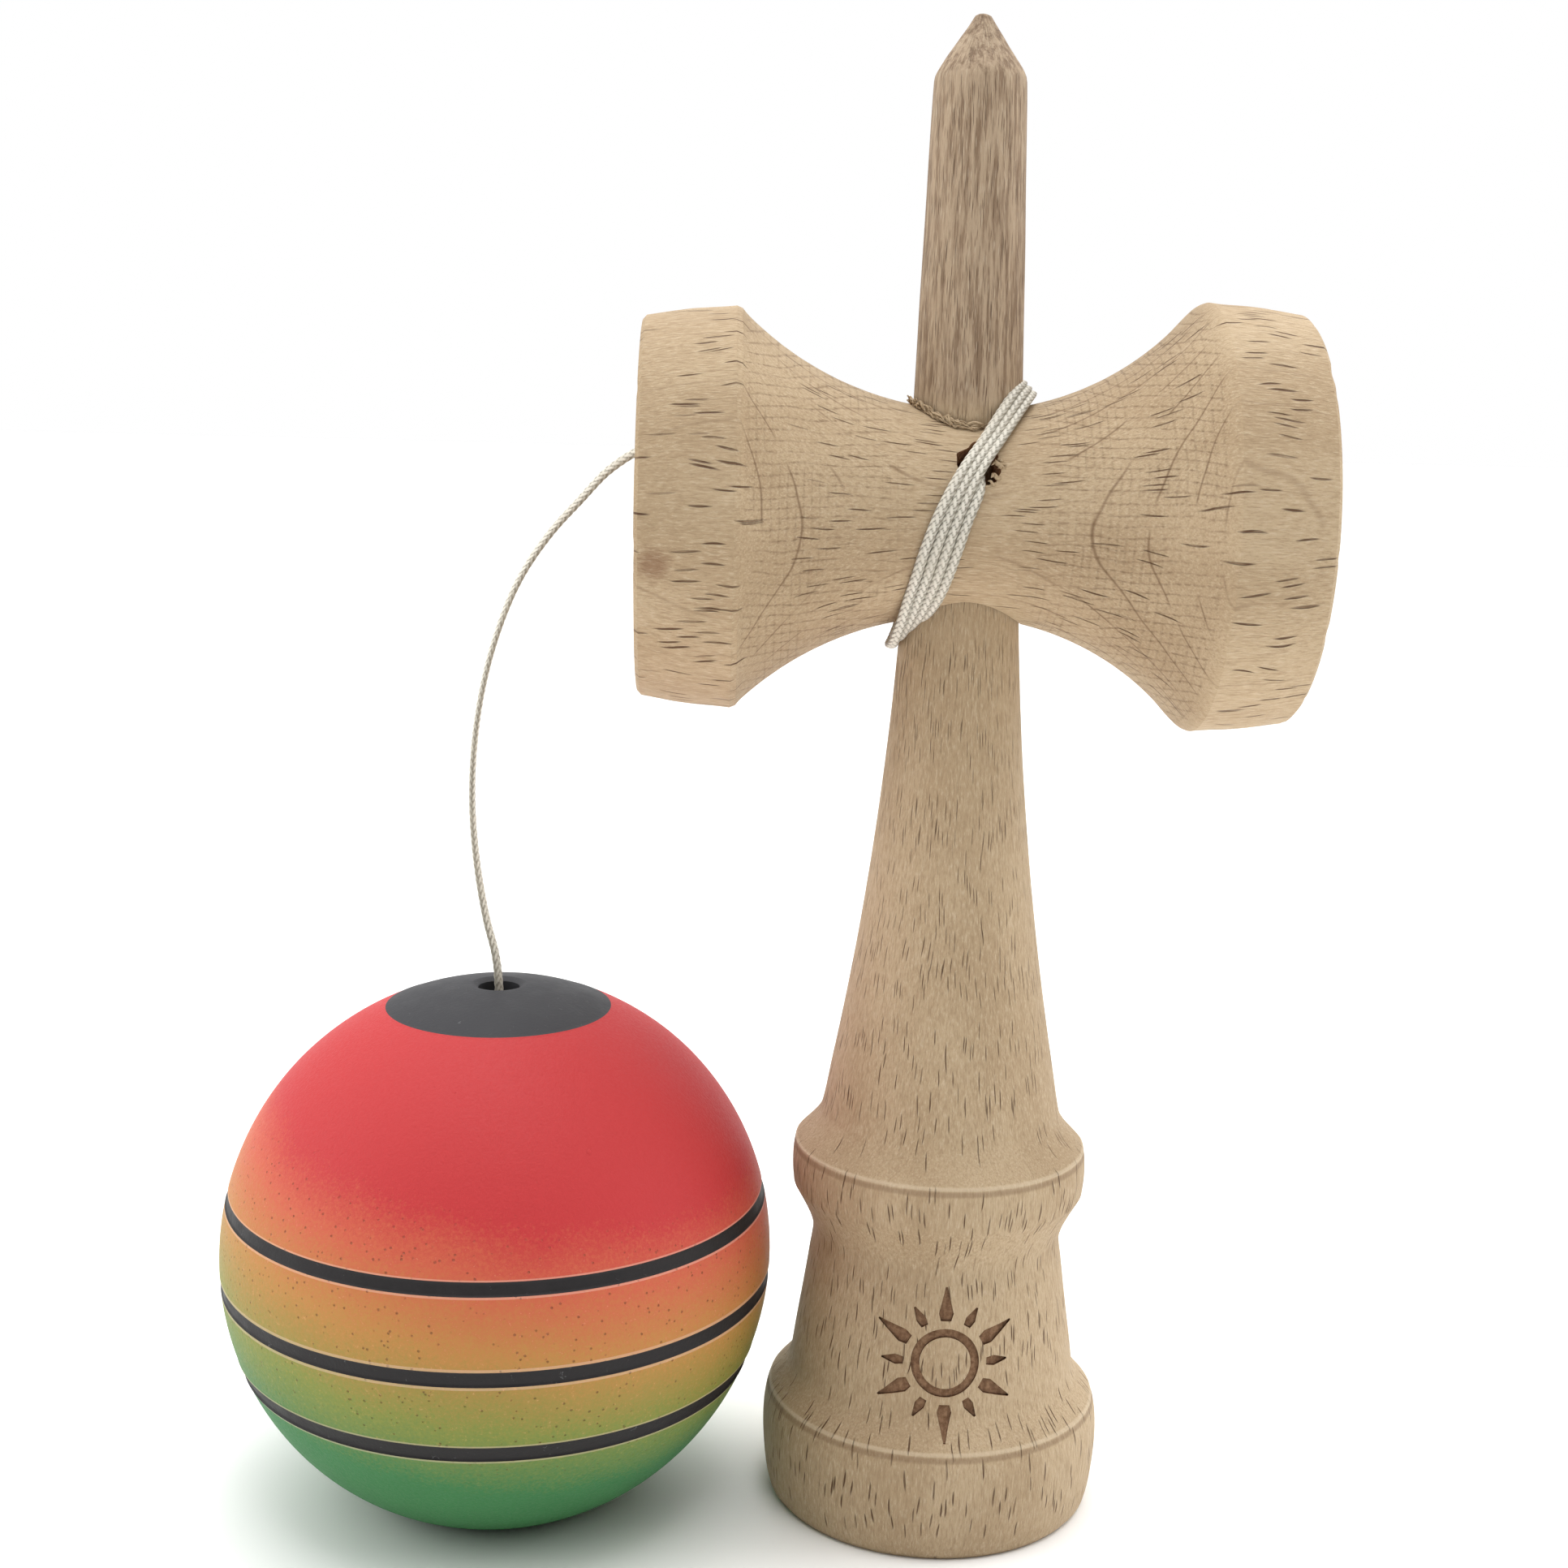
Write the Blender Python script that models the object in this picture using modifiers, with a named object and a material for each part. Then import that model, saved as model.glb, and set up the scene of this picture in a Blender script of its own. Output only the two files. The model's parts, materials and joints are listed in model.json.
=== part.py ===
"""Kendama: a turned ken, the cross barrel (sarado) on its taper, a ball (tama) on a
string, and the string wound round the barrel's waist. Metres, +Z up, barrel along X."""

import math

import bmesh
import bpy
from mathutils import Matrix, Vector

MM = 0.001

# ---- fits
FIT_GAP = 0.3 * MM  # between pieces that touch
TURN_STEPS = 64  # facets round a turned piece
BEAD_STEPS = 24

# ---- ball
BALL_RADIUS = 30.0 * MM
BALL_BORE_RADIUS = 10.4 * MM
BALL_BORE_BEVEL = 0.8 * MM
BALL_LAND = 0.85 * MM  # the flat between the bore's bevel and the skin
BALL_MOUTH_RADIUS = BALL_BORE_RADIUS + BALL_BORE_BEVEL + BALL_LAND
BALL_BORE_DEPTH = 40.0 * MM
BALL_SEAT_RISE = 4.8 * MM  # height of the cone at the bore's end
STRING_HOLE_RADIUS = 2.2 * MM
STRING_HOLE_BEVEL = 0.6 * MM
STRIPE_SINK = 0.12 * MM
# each painted stripe, as its upper and lower angle from the top of the ball
STRIPES = ((74.7, 77.5), (92.0, 95.1), (108.9, 112.6))
SKIN_ARC = 6.0  # degrees of ball between two outline points

# ---- cross barrel
BARREL_HEIGHT = 108.7 * MM  # of its axis
WAIST_RADIUS = 10.7 * MM
BIG_END = 34.0 * MM
BIG_RIM_RADIUS = 21.2 * MM
BIG_RIDGE = 24.1 * MM
BIG_RIDGE_RADIUS = 22.2 * MM
SMALL_END = 33.6 * MM
SMALL_RIM_RADIUS = 19.55 * MM
SMALL_RIDGE = 23.9 * MM
SMALL_RIDGE_RADIUS = 20.7 * MM
RIDGE_RUN = 22.8 * MM  # where both flares end, just under their ridges
RIDGE_LIP = 0.95 * MM  # how far a ridge stands out over its flare
RIM_WALL = 1.7 * MM
CUP_CURVE = 26.0 * MM  # both cups take the same ball
BARREL_HOLE_RADIUS = 2.4 * MM
HOLE_ELEVATION = 31.0  # degrees above level, at the front

# ---- ken (handle, spike and base cup, turned from one piece)
KEN_HEIGHT = 158.6 * MM
SPIKE_CONE_HEIGHT = 6.15 * MM
SPIKE_TIP_RADIUS = 1.0 * MM
SPIKE_RADIUS = 4.72 * MM  # at the shoulder under the cone
TAPER_TOP = BARREL_HEIGHT + WAIST_RADIUS - 0.9 * MM  # just inside the barrel's top
TAPER_TOP_RADIUS = 5.7 * MM
TAPER_FOOT = BARREL_HEIGHT - WAIST_RADIUS - 1.0 * MM  # where the handle's flare starts
TAPER_FOOT_RADIUS = 6.3 * MM
RING_CREST = 37.8 * MM  # the widest height of the upper ring
RING_RADIUS = 16.0 * MM
NECK_HEIGHT = 30.4 * MM
NECK_RADIUS = 13.6 * MM
BASE_CREASE = 12.1 * MM  # the top edge of the base cup's band
BASE_RADIUS = 18.6 * MM
BASE_RIM_WALL = 2.7 * MM
BASE_CUP_RIM = BASE_RADIUS - BASE_RIM_WALL
BASE_CUP_CURVE = 22.0 * MM

# ---- string, knots and bead
STRING_RADIUS = 0.5 * MM
STRING_STEP = 3.75 * MM  # between two points of a tube
STRANDS = 4  # passes across the front of the waist
TURN_STEP = 15.0  # degrees of turn between two route points
STRAND_PITCH = 1.4 * MM
STRAND_SWING = 8.2 * MM  # from the waist's middle to either side of the ken
STRAND_CENTRE = 0.62 * MM
STRAND_LEAN = 0.6 * MM  # how far the strands lie to the left at the front
STRAND_LAYER = 1.15 * MM
HOLE_LIFT = 1.7 * MM  # of the strands that pass over the hole
HOLE_ALONG = 0.35 * MM  # the barrel's string hole, along the barrel
FIRST_ALONG = 0.9 * MM  # where the first strand meets the surface
KNOT_RADIUS = 1.9 * MM
POCKET_CLEARANCE = 0.7 * MM
POCKET_RADIUS = KNOT_RADIUS + POCKET_CLEARANCE
POCKET_FLOOR = 2.0 * MM  # distance of the pocket's floor from the ken's axis
BEAD_RADIUS = 5.2 * MM
BEAD_HEIGHT = 7.0 * MM
BEAD_BORE_RADIUS = 1.1 * MM

# ---- where the pieces stand: the box of the hard pieces is centred on the origin
BALL_GAP = 2.2 * MM  # between the ball's side and the ken's upper ring, seen from above
BALL_OFFSET = BALL_RADIUS + BALL_GAP + RING_RADIUS  # from the ken's axis to the ball's
KEN_X = (BALL_OFFSET + BALL_RADIUS - BIG_END) / 2
BALL_X = KEN_X - BALL_OFFSET
BALL_CENTRE = math.sqrt(BALL_RADIUS**2 - BALL_MOUTH_RADIUS**2)
SEAT_TOP = BALL_BORE_DEPTH + BALL_SEAT_RISE
BEAD_TOP = BALL_BORE_DEPTH + BALL_SEAT_RISE * 0.4
BEAD_FOOT = BEAD_TOP - BEAD_HEIGHT

# the free run, from behind the barrel's waist, over the small cup's back to the ball
FREE_RUN = (
    (11.4, 14.7, 108.8),
    (7.7, 16.9, 109.7),
    (3.6, 19.2, 110.9),
    (-1.9, 21.4, 112.5),
    (-6.8, 21.2, 113.8),
    (-11.6, 20.7, 113.9),
    (-15.6, 20.2, 111.6),
    (-19.2, 19.5, 107.8),
    (-22.5, 18.4, 104.0),
    (-25.7, 16.5, 98.9),
    (-28.2, 13.6, 91.9),
    (-29.5, 10.1, 84.5),
    (-29.7, 6.6, 77.0),
    (-28.9, 3.4, 70.3),
    (-27.6, 1.2, 64.2),
    (-26.5, 0.2, 60.4),
)

HARD = bpy.data.collections.new("kendama")
CUTTERS = bpy.data.collections.new("cutters")


def clear_scene():
    for obj in list(bpy.data.objects):
        bpy.data.objects.remove(obj)
    for collection in (HARD, CUTTERS):
        bpy.context.scene.collection.children.link(collection)


def material(name, colour, roughness, metallic=0.0):
    made = bpy.data.materials.new(name)
    made.use_nodes = True
    shader = made.node_tree.nodes["Principled BSDF"]
    shader.inputs["Base Color"].default_value = (*colour, 1.0)
    shader.inputs["Roughness"].default_value = roughness
    shader.inputs["Metallic"].default_value = metallic
    return made


def outline_mesh(name, outline):
    """An open chain of points in the XZ plane, each a radius and a height."""
    mesh = bpy.data.meshes.new(name)
    shape = bmesh.new()
    corners = [shape.verts.new((radius, 0.0, height)) for radius, height in outline]
    for first, second in zip(corners, corners[1:]):
        shape.edges.new((first, second))
    shape.to_mesh(mesh)
    shape.free()
    return mesh


def turned(name, outline, closed=False, steps=TURN_STEPS):
    """A solid of revolution about the object's Z axis."""
    chain = list(outline) + ([outline[0]] if closed else [])
    obj = bpy.data.objects.new(name, outline_mesh(name, chain))
    screw = obj.modifiers.new("turn", "SCREW")
    screw.axis = "Z"
    screw.angle = math.tau
    screw.steps = steps
    screw.render_steps = steps
    screw.use_merge_vertices = True
    screw.merge_threshold = 0.00001
    screw.use_smooth_shade = False
    return obj


def arc(centre, radius, start, end, count):
    """Points on a circle in the outline's plane, angles in degrees from +radius to +height."""
    points = []
    for step in range(count + 1):
        angle = math.radians(start + (end - start) * step / count)
        points.append((centre[0] + radius * math.cos(angle), centre[1] + radius * math.sin(angle)))
    return points


def cup_outline(rim_radius, curve, count=7):
    """Hollow of a cup from its axis to its rim, as (radius, depth below the rim)."""
    floor = math.asin(rim_radius / curve)
    drop = curve * math.cos(floor)
    steps = [floor * step / count for step in range(count + 1)]
    return [(curve * math.sin(angle), curve * math.cos(angle) - drop) for angle in steps]


def cut(obj, cutter, name):
    boolean = obj.modifiers.new(name, "BOOLEAN")
    boolean.operation = "DIFFERENCE"
    boolean.solver = "EXACT"
    boolean.object = cutter


def cone_cutter(name, foot_radius, top_radius, length, place):
    """A closed cone or cylinder whose foot is at the origin of the given placing."""
    mesh = bpy.data.meshes.new(name)
    shape = bmesh.new()
    bmesh.ops.create_cone(
        shape,
        cap_ends=True,
        segments=TURN_STEPS,
        radius1=foot_radius,
        radius2=top_radius,
        depth=length,
        matrix=Matrix.Translation((0.0, 0.0, length / 2)),
    )
    shape.to_mesh(mesh)
    shape.free()
    cutter = bpy.data.objects.new(name, mesh)
    cutter.matrix_world = place
    cutter.hide_render = True
    cutter.display_type = "WIRE"
    CUTTERS.objects.link(cutter)
    return cutter


def add(obj, finish, location=(0.0, 0.0, 0.0), rotation=(0.0, 0.0, 0.0), parent=None):
    obj.location = location
    obj.rotation_euler = rotation
    obj.data.materials.append(finish)
    HARD.objects.link(obj)
    if parent:
        obj.parent = parent
    return obj


def taper_radius(height):
    """The ken's radius where the barrel sits on it."""
    share = (height - TAPER_FOOT) / (TAPER_TOP - TAPER_FOOT)
    return TAPER_FOOT_RADIUS + share * (TAPER_TOP_RADIUS - TAPER_FOOT_RADIUS)


def handle_radius(height):
    """The handle's slow flare, between the barrel and the upper ring."""
    low, high = RING_CREST + 6.0 * MM, TAPER_FOOT
    share = (high - height) / (high - low)
    bend = share * (0.41 + 0.59 * share)
    return TAPER_FOOT_RADIUS + (NECK_RADIUS - 0.5 * MM - TAPER_FOOT_RADIUS) * bend


def ken_outline():
    tip = KEN_HEIGHT
    shoulder = tip - SPIKE_CONE_HEIGHT
    points = [
        (0.0, tip),
        (SPIKE_TIP_RADIUS * 0.45, tip - 0.1 * MM),
        (SPIKE_TIP_RADIUS * 0.82, tip - 0.3 * MM),
        (SPIKE_TIP_RADIUS + 0.12 * MM, tip - 0.75 * MM),
        (SPIKE_RADIUS - 0.25 * MM, shoulder + 0.38 * MM),
        (SPIKE_RADIUS - 0.04 * MM, shoulder - 0.15 * MM),
        (SPIKE_RADIUS + 0.03 * MM, shoulder - 1.0 * MM),
        (TAPER_TOP_RADIUS, TAPER_TOP),
        (TAPER_FOOT_RADIUS, TAPER_FOOT),
    ]
    low = RING_CREST + 6.0 * MM
    flare_steps = 9
    for step in range(1, flare_steps + 1):
        height = TAPER_FOOT + (low - TAPER_FOOT) * step / flare_steps
        points.append((handle_radius(height), height))
    # upper ring: a cove out to a crisp edge, an upright band, then a bevel in to the neck
    points += [
        (RING_RADIUS - 2.5 * MM, RING_CREST + 5.3 * MM),
        (RING_RADIUS - 2.0 * MM, RING_CREST + 4.6 * MM),
        (RING_RADIUS - 0.22 * MM, RING_CREST + 2.7 * MM),
        (RING_RADIUS, RING_CREST + 1.2 * MM),
        (RING_RADIUS, RING_CREST - 0.8 * MM),
        (RING_RADIUS - 0.15 * MM, RING_CREST - 2.2 * MM),
        (RING_RADIUS - 1.50 * MM, RING_CREST - 4.7 * MM),
        (NECK_RADIUS + 0.40 * MM, RING_CREST - 5.8 * MM),
        (NECK_RADIUS, NECK_HEIGHT),
    ]
    # lower flare, a cove out to the base cup's shoulder, then its upright band
    cove = BASE_CREASE + 2.9 * MM
    flare = 5
    for step in range(1, flare + 1):
        share = step / flare
        height = NECK_HEIGHT + (cove - NECK_HEIGHT) * share
        points.append((NECK_RADIUS + (BASE_RADIUS - 2.8 * MM - NECK_RADIUS) * share**1.12, height))
    points += [
        (BASE_RADIUS - 2.45 * MM, BASE_CREASE + 2.1 * MM),
        (BASE_RADIUS - 1.85 * MM, BASE_CREASE + 1.4 * MM),
        (BASE_RADIUS - 0.62 * MM, BASE_CREASE),
        (BASE_RADIUS - 0.32 * MM, BASE_CREASE - 1.0 * MM),
        (BASE_RADIUS - 0.05 * MM, BASE_CREASE - 2.9 * MM),
        (BASE_RADIUS, BASE_CREASE - 5.0 * MM),
        (BASE_RADIUS - 0.20 * MM, 4.2 * MM),
        (BASE_RADIUS - 0.50 * MM, 2.0 * MM),
        (BASE_RADIUS - 0.85 * MM, 0.6 * MM),
        (BASE_RADIUS - 1.35 * MM, 0.0),
        (BASE_CUP_RIM + 0.3 * MM, 0.0),
    ]
    hollow = cup_outline(BASE_CUP_RIM, BASE_CUP_CURVE)
    points += [(radius, depth + 0.2 * MM) for radius, depth in reversed(hollow)]
    return points


def flare_radius(along):
    """The barrel's outside from the waist to either ridge, an arc on each side."""
    ridge = BIG_RIDGE_RADIUS if along > 0 else SMALL_RIDGE_RADIUS
    rise = ridge - RIDGE_LIP - WAIST_RADIUS
    curve = (RIDGE_RUN**2 + rise**2) / (2 * rise)
    return WAIST_RADIUS + curve - math.sqrt(curve**2 - along**2)


def rim_points(end, rim, ridge, ridge_radius):
    """Half of a cup's outside, from the inner rim to the ridge, as (radius, distance)."""
    return [
        (rim - RIM_WALL, end - 0.25 * MM),
        (rim - RIM_WALL + 0.35 * MM, end),
        (rim - 0.45 * MM, end),
        (rim, end - 0.4 * MM),
        ((rim + ridge_radius) / 2 + 0.15 * MM, (end + ridge) / 2),
        (ridge_radius - 0.12 * MM, ridge + 1.2 * MM),
        (ridge_radius, ridge + 0.1 * MM),
        (ridge_radius - 0.25 * MM, ridge - 0.5 * MM),
    ]


def barrel_outline():
    """From the big cup's floor, round both ends, to the small cup's floor."""
    big = cup_outline(BIG_RIM_RADIUS - RIM_WALL, CUP_CURVE)
    small = cup_outline(SMALL_RIM_RADIUS - RIM_WALL, CUP_CURVE)
    points = [(radius, BIG_END - 0.25 * MM - depth) for radius, depth in big[:-1]]
    points += rim_points(BIG_END, BIG_RIM_RADIUS, BIG_RIDGE, BIG_RIDGE_RADIUS)
    steps = 24
    for step in range(steps + 1):
        along = RIDGE_RUN * (1.0 - 2.0 * step / steps)
        points.append((flare_radius(along), along))
    other = rim_points(SMALL_END, SMALL_RIM_RADIUS, SMALL_RIDGE, SMALL_RIDGE_RADIUS)
    points += [(radius, -along) for radius, along in reversed(other)]
    points += [(radius, depth + 0.25 * MM - SMALL_END) for radius, depth in reversed(small[:-1])]
    return points


def ball_outline():
    """The ball's skin with its stripes sunk in, then up through the bore and the hole."""
    hole_edge = math.degrees(math.asin((STRING_HOLE_RADIUS + STRING_HOLE_BEVEL) / BALL_RADIUS))
    mouth_edge = 180.0 - math.degrees(math.asin(BALL_MOUTH_RADIUS / BALL_RADIUS))
    angles = []
    start = hole_edge
    for upper, lower in (*STRIPES, (mouth_edge, None)):
        count = max(1, round((upper - start) / SKIN_ARC))
        angles += [(start + (upper - start) * step / count, 0.0) for step in range(count + 1)]
        if lower:
            angles += [(upper + 0.25, STRIPE_SINK), (lower - 0.25, STRIPE_SINK)]
            start = lower
    skin = []
    for angle, sink in angles:
        turn = math.radians(angle)
        radius = BALL_RADIUS - sink
        skin.append((radius * math.sin(turn), BALL_CENTRE + radius * math.cos(turn)))
    skin[-1] = (BALL_MOUTH_RADIUS, 0.0)
    return skin + [
        (BALL_BORE_RADIUS + BALL_BORE_BEVEL, 0.0),
        (BALL_BORE_RADIUS, BALL_BORE_BEVEL),
        (BALL_BORE_RADIUS, BALL_BORE_DEPTH),
        (STRING_HOLE_RADIUS, SEAT_TOP),
        (STRING_HOLE_RADIUS, BALL_CENTRE + BALL_RADIUS - STRING_HOLE_BEVEL),
    ]


def bead_outline():
    edge = 1.6 * MM
    upper = arc((BEAD_RADIUS - edge, BEAD_TOP - edge), edge, 90, 0, 4)
    lower = arc((BEAD_RADIUS - edge, BEAD_FOOT + edge), edge, 0, -90, 4)
    bore = [(BEAD_BORE_RADIUS, BEAD_FOOT), (BEAD_BORE_RADIUS, BEAD_TOP)]
    return upper + lower + bore


def knot(name, centre, finish, parent=None):
    """An overhand knot's outer shape: a ball, a little flatter across."""
    mesh = bpy.data.meshes.new(name)
    shape = bmesh.new()
    bmesh.ops.create_uvsphere(shape, u_segments=16, v_segments=10, radius=KNOT_RADIUS)
    shape.to_mesh(mesh)
    shape.free()
    obj = bpy.data.objects.new(name, mesh)
    add(obj, finish, location=centre, parent=parent)
    return obj


def smoothstep(value):
    value = min(1.0, max(0.0, value))
    return value * value * (3.0 - 2.0 * value)


def hole_direction():
    angle = math.radians(HOLE_ELEVATION)
    return Vector((0.0, -math.cos(angle), math.sin(angle)))


def turn_point(swept):
    """The string's centre after this many degrees, counted from level at the front down."""
    turns = swept / 360.0
    angle = math.radians(swept)
    sine = math.sin(angle)
    crowd = smoothstep((abs(sine) - 0.45) / 0.5)  # 1 where the strands pile up beside the ken
    pitch = STRAND_PITCH * (1.0 - 0.5 * crowd)
    wave = 0.25 * sine + 0.75 * math.asin(sine) / (math.pi / 2)
    along = STRAND_CENTRE - pitch * turns - STRAND_SWING * wave - STRAND_LEAN * math.cos(angle)
    leave = smoothstep((swept + 20.0) / 80.0)
    along = FIRST_ALONG + (along - FIRST_ALONG) * leave
    # every other strand rides up beside the ken, and the later ones pass over the hole
    doubled = crowd * (round(turns + 0.5) % 2 == 0)
    from_hole = abs((swept + HOLE_ELEVATION - 6.0 + 180.0) % 360.0 - 180.0)
    over = smoothstep(1.0 - from_hole / 38.0) if turns > 0.5 else 0.0
    reach = flare_radius(along) + FIT_GAP + STRING_RADIUS + STRAND_LAYER * doubled + HOLE_LIFT * over
    return Vector((KEN_X + along, -reach * math.cos(angle), BARREL_HEIGHT - reach * math.sin(angle)))


def anchor_route():
    """From the knot in the ken, out through the barrel's hole and over its lower edge."""
    out = hole_direction()
    foot = Vector((KEN_X + HOLE_ALONG, 0.0, BARREL_HEIGHT))
    knot_face = POCKET_FLOOR + 2 * KNOT_RADIUS + 2 * FIT_GAP
    straight = WAIST_RADIUS - 1.0 * MM - knot_face
    inside = [foot + out * (knot_face + straight * share) for share in (0.0, 0.5, 1.0)]
    lips = []
    for drop, rise in ((7.0, 0.0), (15.0, 0.15 * MM)):
        edge = math.radians(HOLE_ELEVATION - drop)
        reach = WAIST_RADIUS + FIT_GAP + STRING_RADIUS + rise
        along = foot.x + (FIRST_ALONG - HOLE_ALONG) * drop / 15.0
        lips.append(Vector((along, -reach * math.cos(edge), foot.z + reach * math.sin(edge))))
    return [*inside, *lips]


def turns_route():
    """Round the barrel's waist, from under its hole to the back."""
    last = 360.0 * (STRANDS - 1) + 180.0
    count = round(last / TURN_STEP)
    return [turn_point(last * step / count) for step in range(count + 1)]


def smooth_curve(points, spacing):
    """Evenly spaced points on a centripetal curve through the given ones."""
    ends = [points[0] * 2 - points[1], *points, points[-1] * 2 - points[-2]]
    fine = []
    for before, start, end, after in zip(ends, ends[1:], ends[2:], ends[3:]):
        knots = [0.0]
        for first, second in ((before, start), (start, end), (end, after)):
            knots.append(knots[-1] + (second - first).length ** 0.5)
        for step in range(12):
            at = knots[1] + (knots[2] - knots[1]) * step / 12
            near = [blend(a, b, i, j, at, knots) for a, b, i, j in
                    ((before, start, 0, 1), (start, end, 1, 2), (end, after, 2, 3))]
            wide = [blend(near[0], near[1], 0, 2, at, knots), blend(near[1], near[2], 1, 3, at, knots)]
            fine.append(blend(wide[0], wide[1], 1, 2, at, knots))
    fine.append(points[-1])
    return even_points(fine, spacing)


def blend(first, second, start, end, at, knots):
    share = (at - knots[start]) / (knots[end] - knots[start])
    return first * (1.0 - share) + second * share


def even_points(fine, spacing):
    total = sum((b - a).length for a, b in zip(fine, fine[1:]))
    count = max(2, round(total / spacing))
    step = total / count
    even, walked = [fine[0]], 0.0
    for a, b in zip(fine, fine[1:]):
        length = (b - a).length
        while walked + length >= step * len(even) and len(even) < count:
            even.append(a.lerp(b, (step * len(even) - walked) / length))
        walked += length
    return even + [fine[-1]]


def trimmed(points, start, end):
    """The same run with this much cut from each end."""
    head = points[0] + (points[1] - points[0]).normalized() * start
    tail = points[-1] + (points[-2] - points[-1]).normalized() * end
    return [head, *points[1:-1], tail]


def tube(name, points, finish, parent=None):
    curve = bpy.data.curves.new(name, "CURVE")
    curve.dimensions = "3D"
    curve.bevel_depth = STRING_RADIUS
    curve.bevel_resolution = 2
    curve.use_fill_caps = True
    curve.twist_mode = "MINIMUM"
    spline = curve.splines.new("POLY")
    spline.points.add(len(points) - 1)
    for place, point in zip(spline.points, points):
        place.co = (*point, 1.0)
    obj = bpy.data.objects.new(name, curve)
    add(obj, finish)
    if parent:
        obj.parent = parent
        obj.matrix_parent_inverse = Matrix.Translation(-parent.location)
    return obj


def make_ken(finish):
    ken = add(turned("ken", ken_outline()), finish, location=(KEN_X, 0.0, 0.0))
    out = hole_direction()
    foot = Vector((KEN_X + HOLE_ALONG, 0.0, BARREL_HEIGHT)) + out * POCKET_FLOOR
    turn = out.to_track_quat("Z", "Y").to_matrix().to_4x4()
    place = Matrix.Translation(foot) @ turn
    cutter = cone_cutter("knot_pocket", POCKET_RADIUS, POCKET_RADIUS, WAIST_RADIUS, place)
    cut(ken, cutter, "knot pocket")
    return ken


def make_barrel(finish):
    barrel = turned("sarado", barrel_outline())
    add(barrel, finish, location=(KEN_X, 0.0, BARREL_HEIGHT), rotation=(0.0, math.pi / 2, 0.0))
    reach = WAIST_RADIUS + 6.0 * MM
    low, high = BARREL_HEIGHT - reach, BARREL_HEIGHT + reach
    taper = cone_cutter(
        "taper_bore",
        taper_radius(low) + FIT_GAP,
        taper_radius(high) + FIT_GAP,
        high - low,
        Matrix.Translation((KEN_X, 0.0, low)),
    )
    out = hole_direction()
    turn = out.to_track_quat("Z", "Y").to_matrix().to_4x4()
    foot = Matrix.Translation((KEN_X + HOLE_ALONG, 0.0, BARREL_HEIGHT)) @ turn
    hole = cone_cutter("string_hole", BARREL_HOLE_RADIUS, BARREL_HOLE_RADIUS, reach, foot)
    cut(barrel, taper, "taper bore")
    cut(barrel, hole, "string hole")
    return barrel


def build():
    clear_scene()
    beech = material("beech_ken", (0.56, 0.42, 0.29), 0.55)
    beech_barrel = material("beech_sarado", (0.60, 0.46, 0.32), 0.5)
    rubber = material("rubber_paint", (0.60, 0.045, 0.06), 0.5)
    plastic = material("bead_plastic", (0.05, 0.05, 0.055), 0.35)
    braid_turns = material("braid_turns", (0.75, 0.72, 0.66), 0.7)
    braid_run = material("braid_run", (0.75, 0.72, 0.66), 0.7)
    braid_tail = material("braid_tail", (0.75, 0.72, 0.66), 0.7)
    braid_anchor = material("braid_anchor", (0.75, 0.72, 0.66), 0.7)
    braid_knot = material("braid_knot", (0.72, 0.69, 0.63), 0.7)
    braid_stop = material("braid_stop", (0.72, 0.69, 0.63), 0.7)

    make_ken(beech)
    make_barrel(beech_barrel)

    # the ball turns on the bead's axis, and the bead carries what is on the string
    swivel = bpy.data.objects.new("swivel_axis", None)
    swivel.location = (BALL_X, 0.0, BALL_CENTRE)
    HARD.objects.link(swivel)
    ball = add(turned("tama", ball_outline(), closed=True), rubber, parent=swivel)
    ball.location = (0.0, 0.0, -BALL_CENTRE)
    bead = add(turned("bead", bead_outline(), closed=True, steps=BEAD_STEPS), plastic, parent=swivel)
    bead.location = (0.0, 0.0, -BALL_CENTRE)
    stop_height = BEAD_FOOT - FIT_GAP - KNOT_RADIUS
    stop_place = (0.0, 0.0, stop_height - BALL_CENTRE)
    knot("knot_bead", stop_place, braid_stop, parent=swivel)

    # string: knot in the ken, turns, free run, then down through the ball to the bead
    anchor = Vector((KEN_X + HOLE_ALONG, 0.0, BARREL_HEIGHT))
    anchor += hole_direction() * (POCKET_FLOOR + FIT_GAP + KNOT_RADIUS)
    knot("knot_ken", anchor, braid_knot)
    turns = turns_route()
    entry = Vector((BALL_X, 0.0, BALL_CENTRE + BALL_RADIUS - 0.5 * MM))
    run = [Vector(point) * MM for point in FREE_RUN] + [entry]
    whole = smooth_curve([*anchor_route(), *turns, *run], STRING_RADIUS)
    near = [min(whole, key=lambda point: (point - end).length) for end in (turns[0], run[1])]
    first, second = (whole.index(point) for point in near)
    half_gap = FIT_GAP / 2
    stretches = (
        ("string_anchor", whole[: first + 1], 2 * STRING_RADIUS, braid_anchor),
        ("string_turns", whole[first : second + 1], STRING_STEP, braid_turns),
        ("string_run", whole[second:], STRING_STEP, braid_run),
    )
    for name, points, spacing, finish in stretches:
        tube(name, trimmed(even_points(points, spacing), half_gap, half_gap), finish)
    stop_top = Vector((BALL_X, 0.0, stop_height + KNOT_RADIUS))
    down = even_points([entry, stop_top], STRING_STEP)
    tube("string_tail", trimmed(down, half_gap, FIT_GAP), braid_tail, parent=swivel)


build()
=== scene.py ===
"""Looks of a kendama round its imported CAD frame: raw turned beech, a ball in matte rubber
paint and a flat braided string wound round the barrel. Metres, +Z up, barrel along X."""

import json
import math

import bmesh
import bpy
import numpy as np
from mathutils import Matrix, Vector, noise


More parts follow.
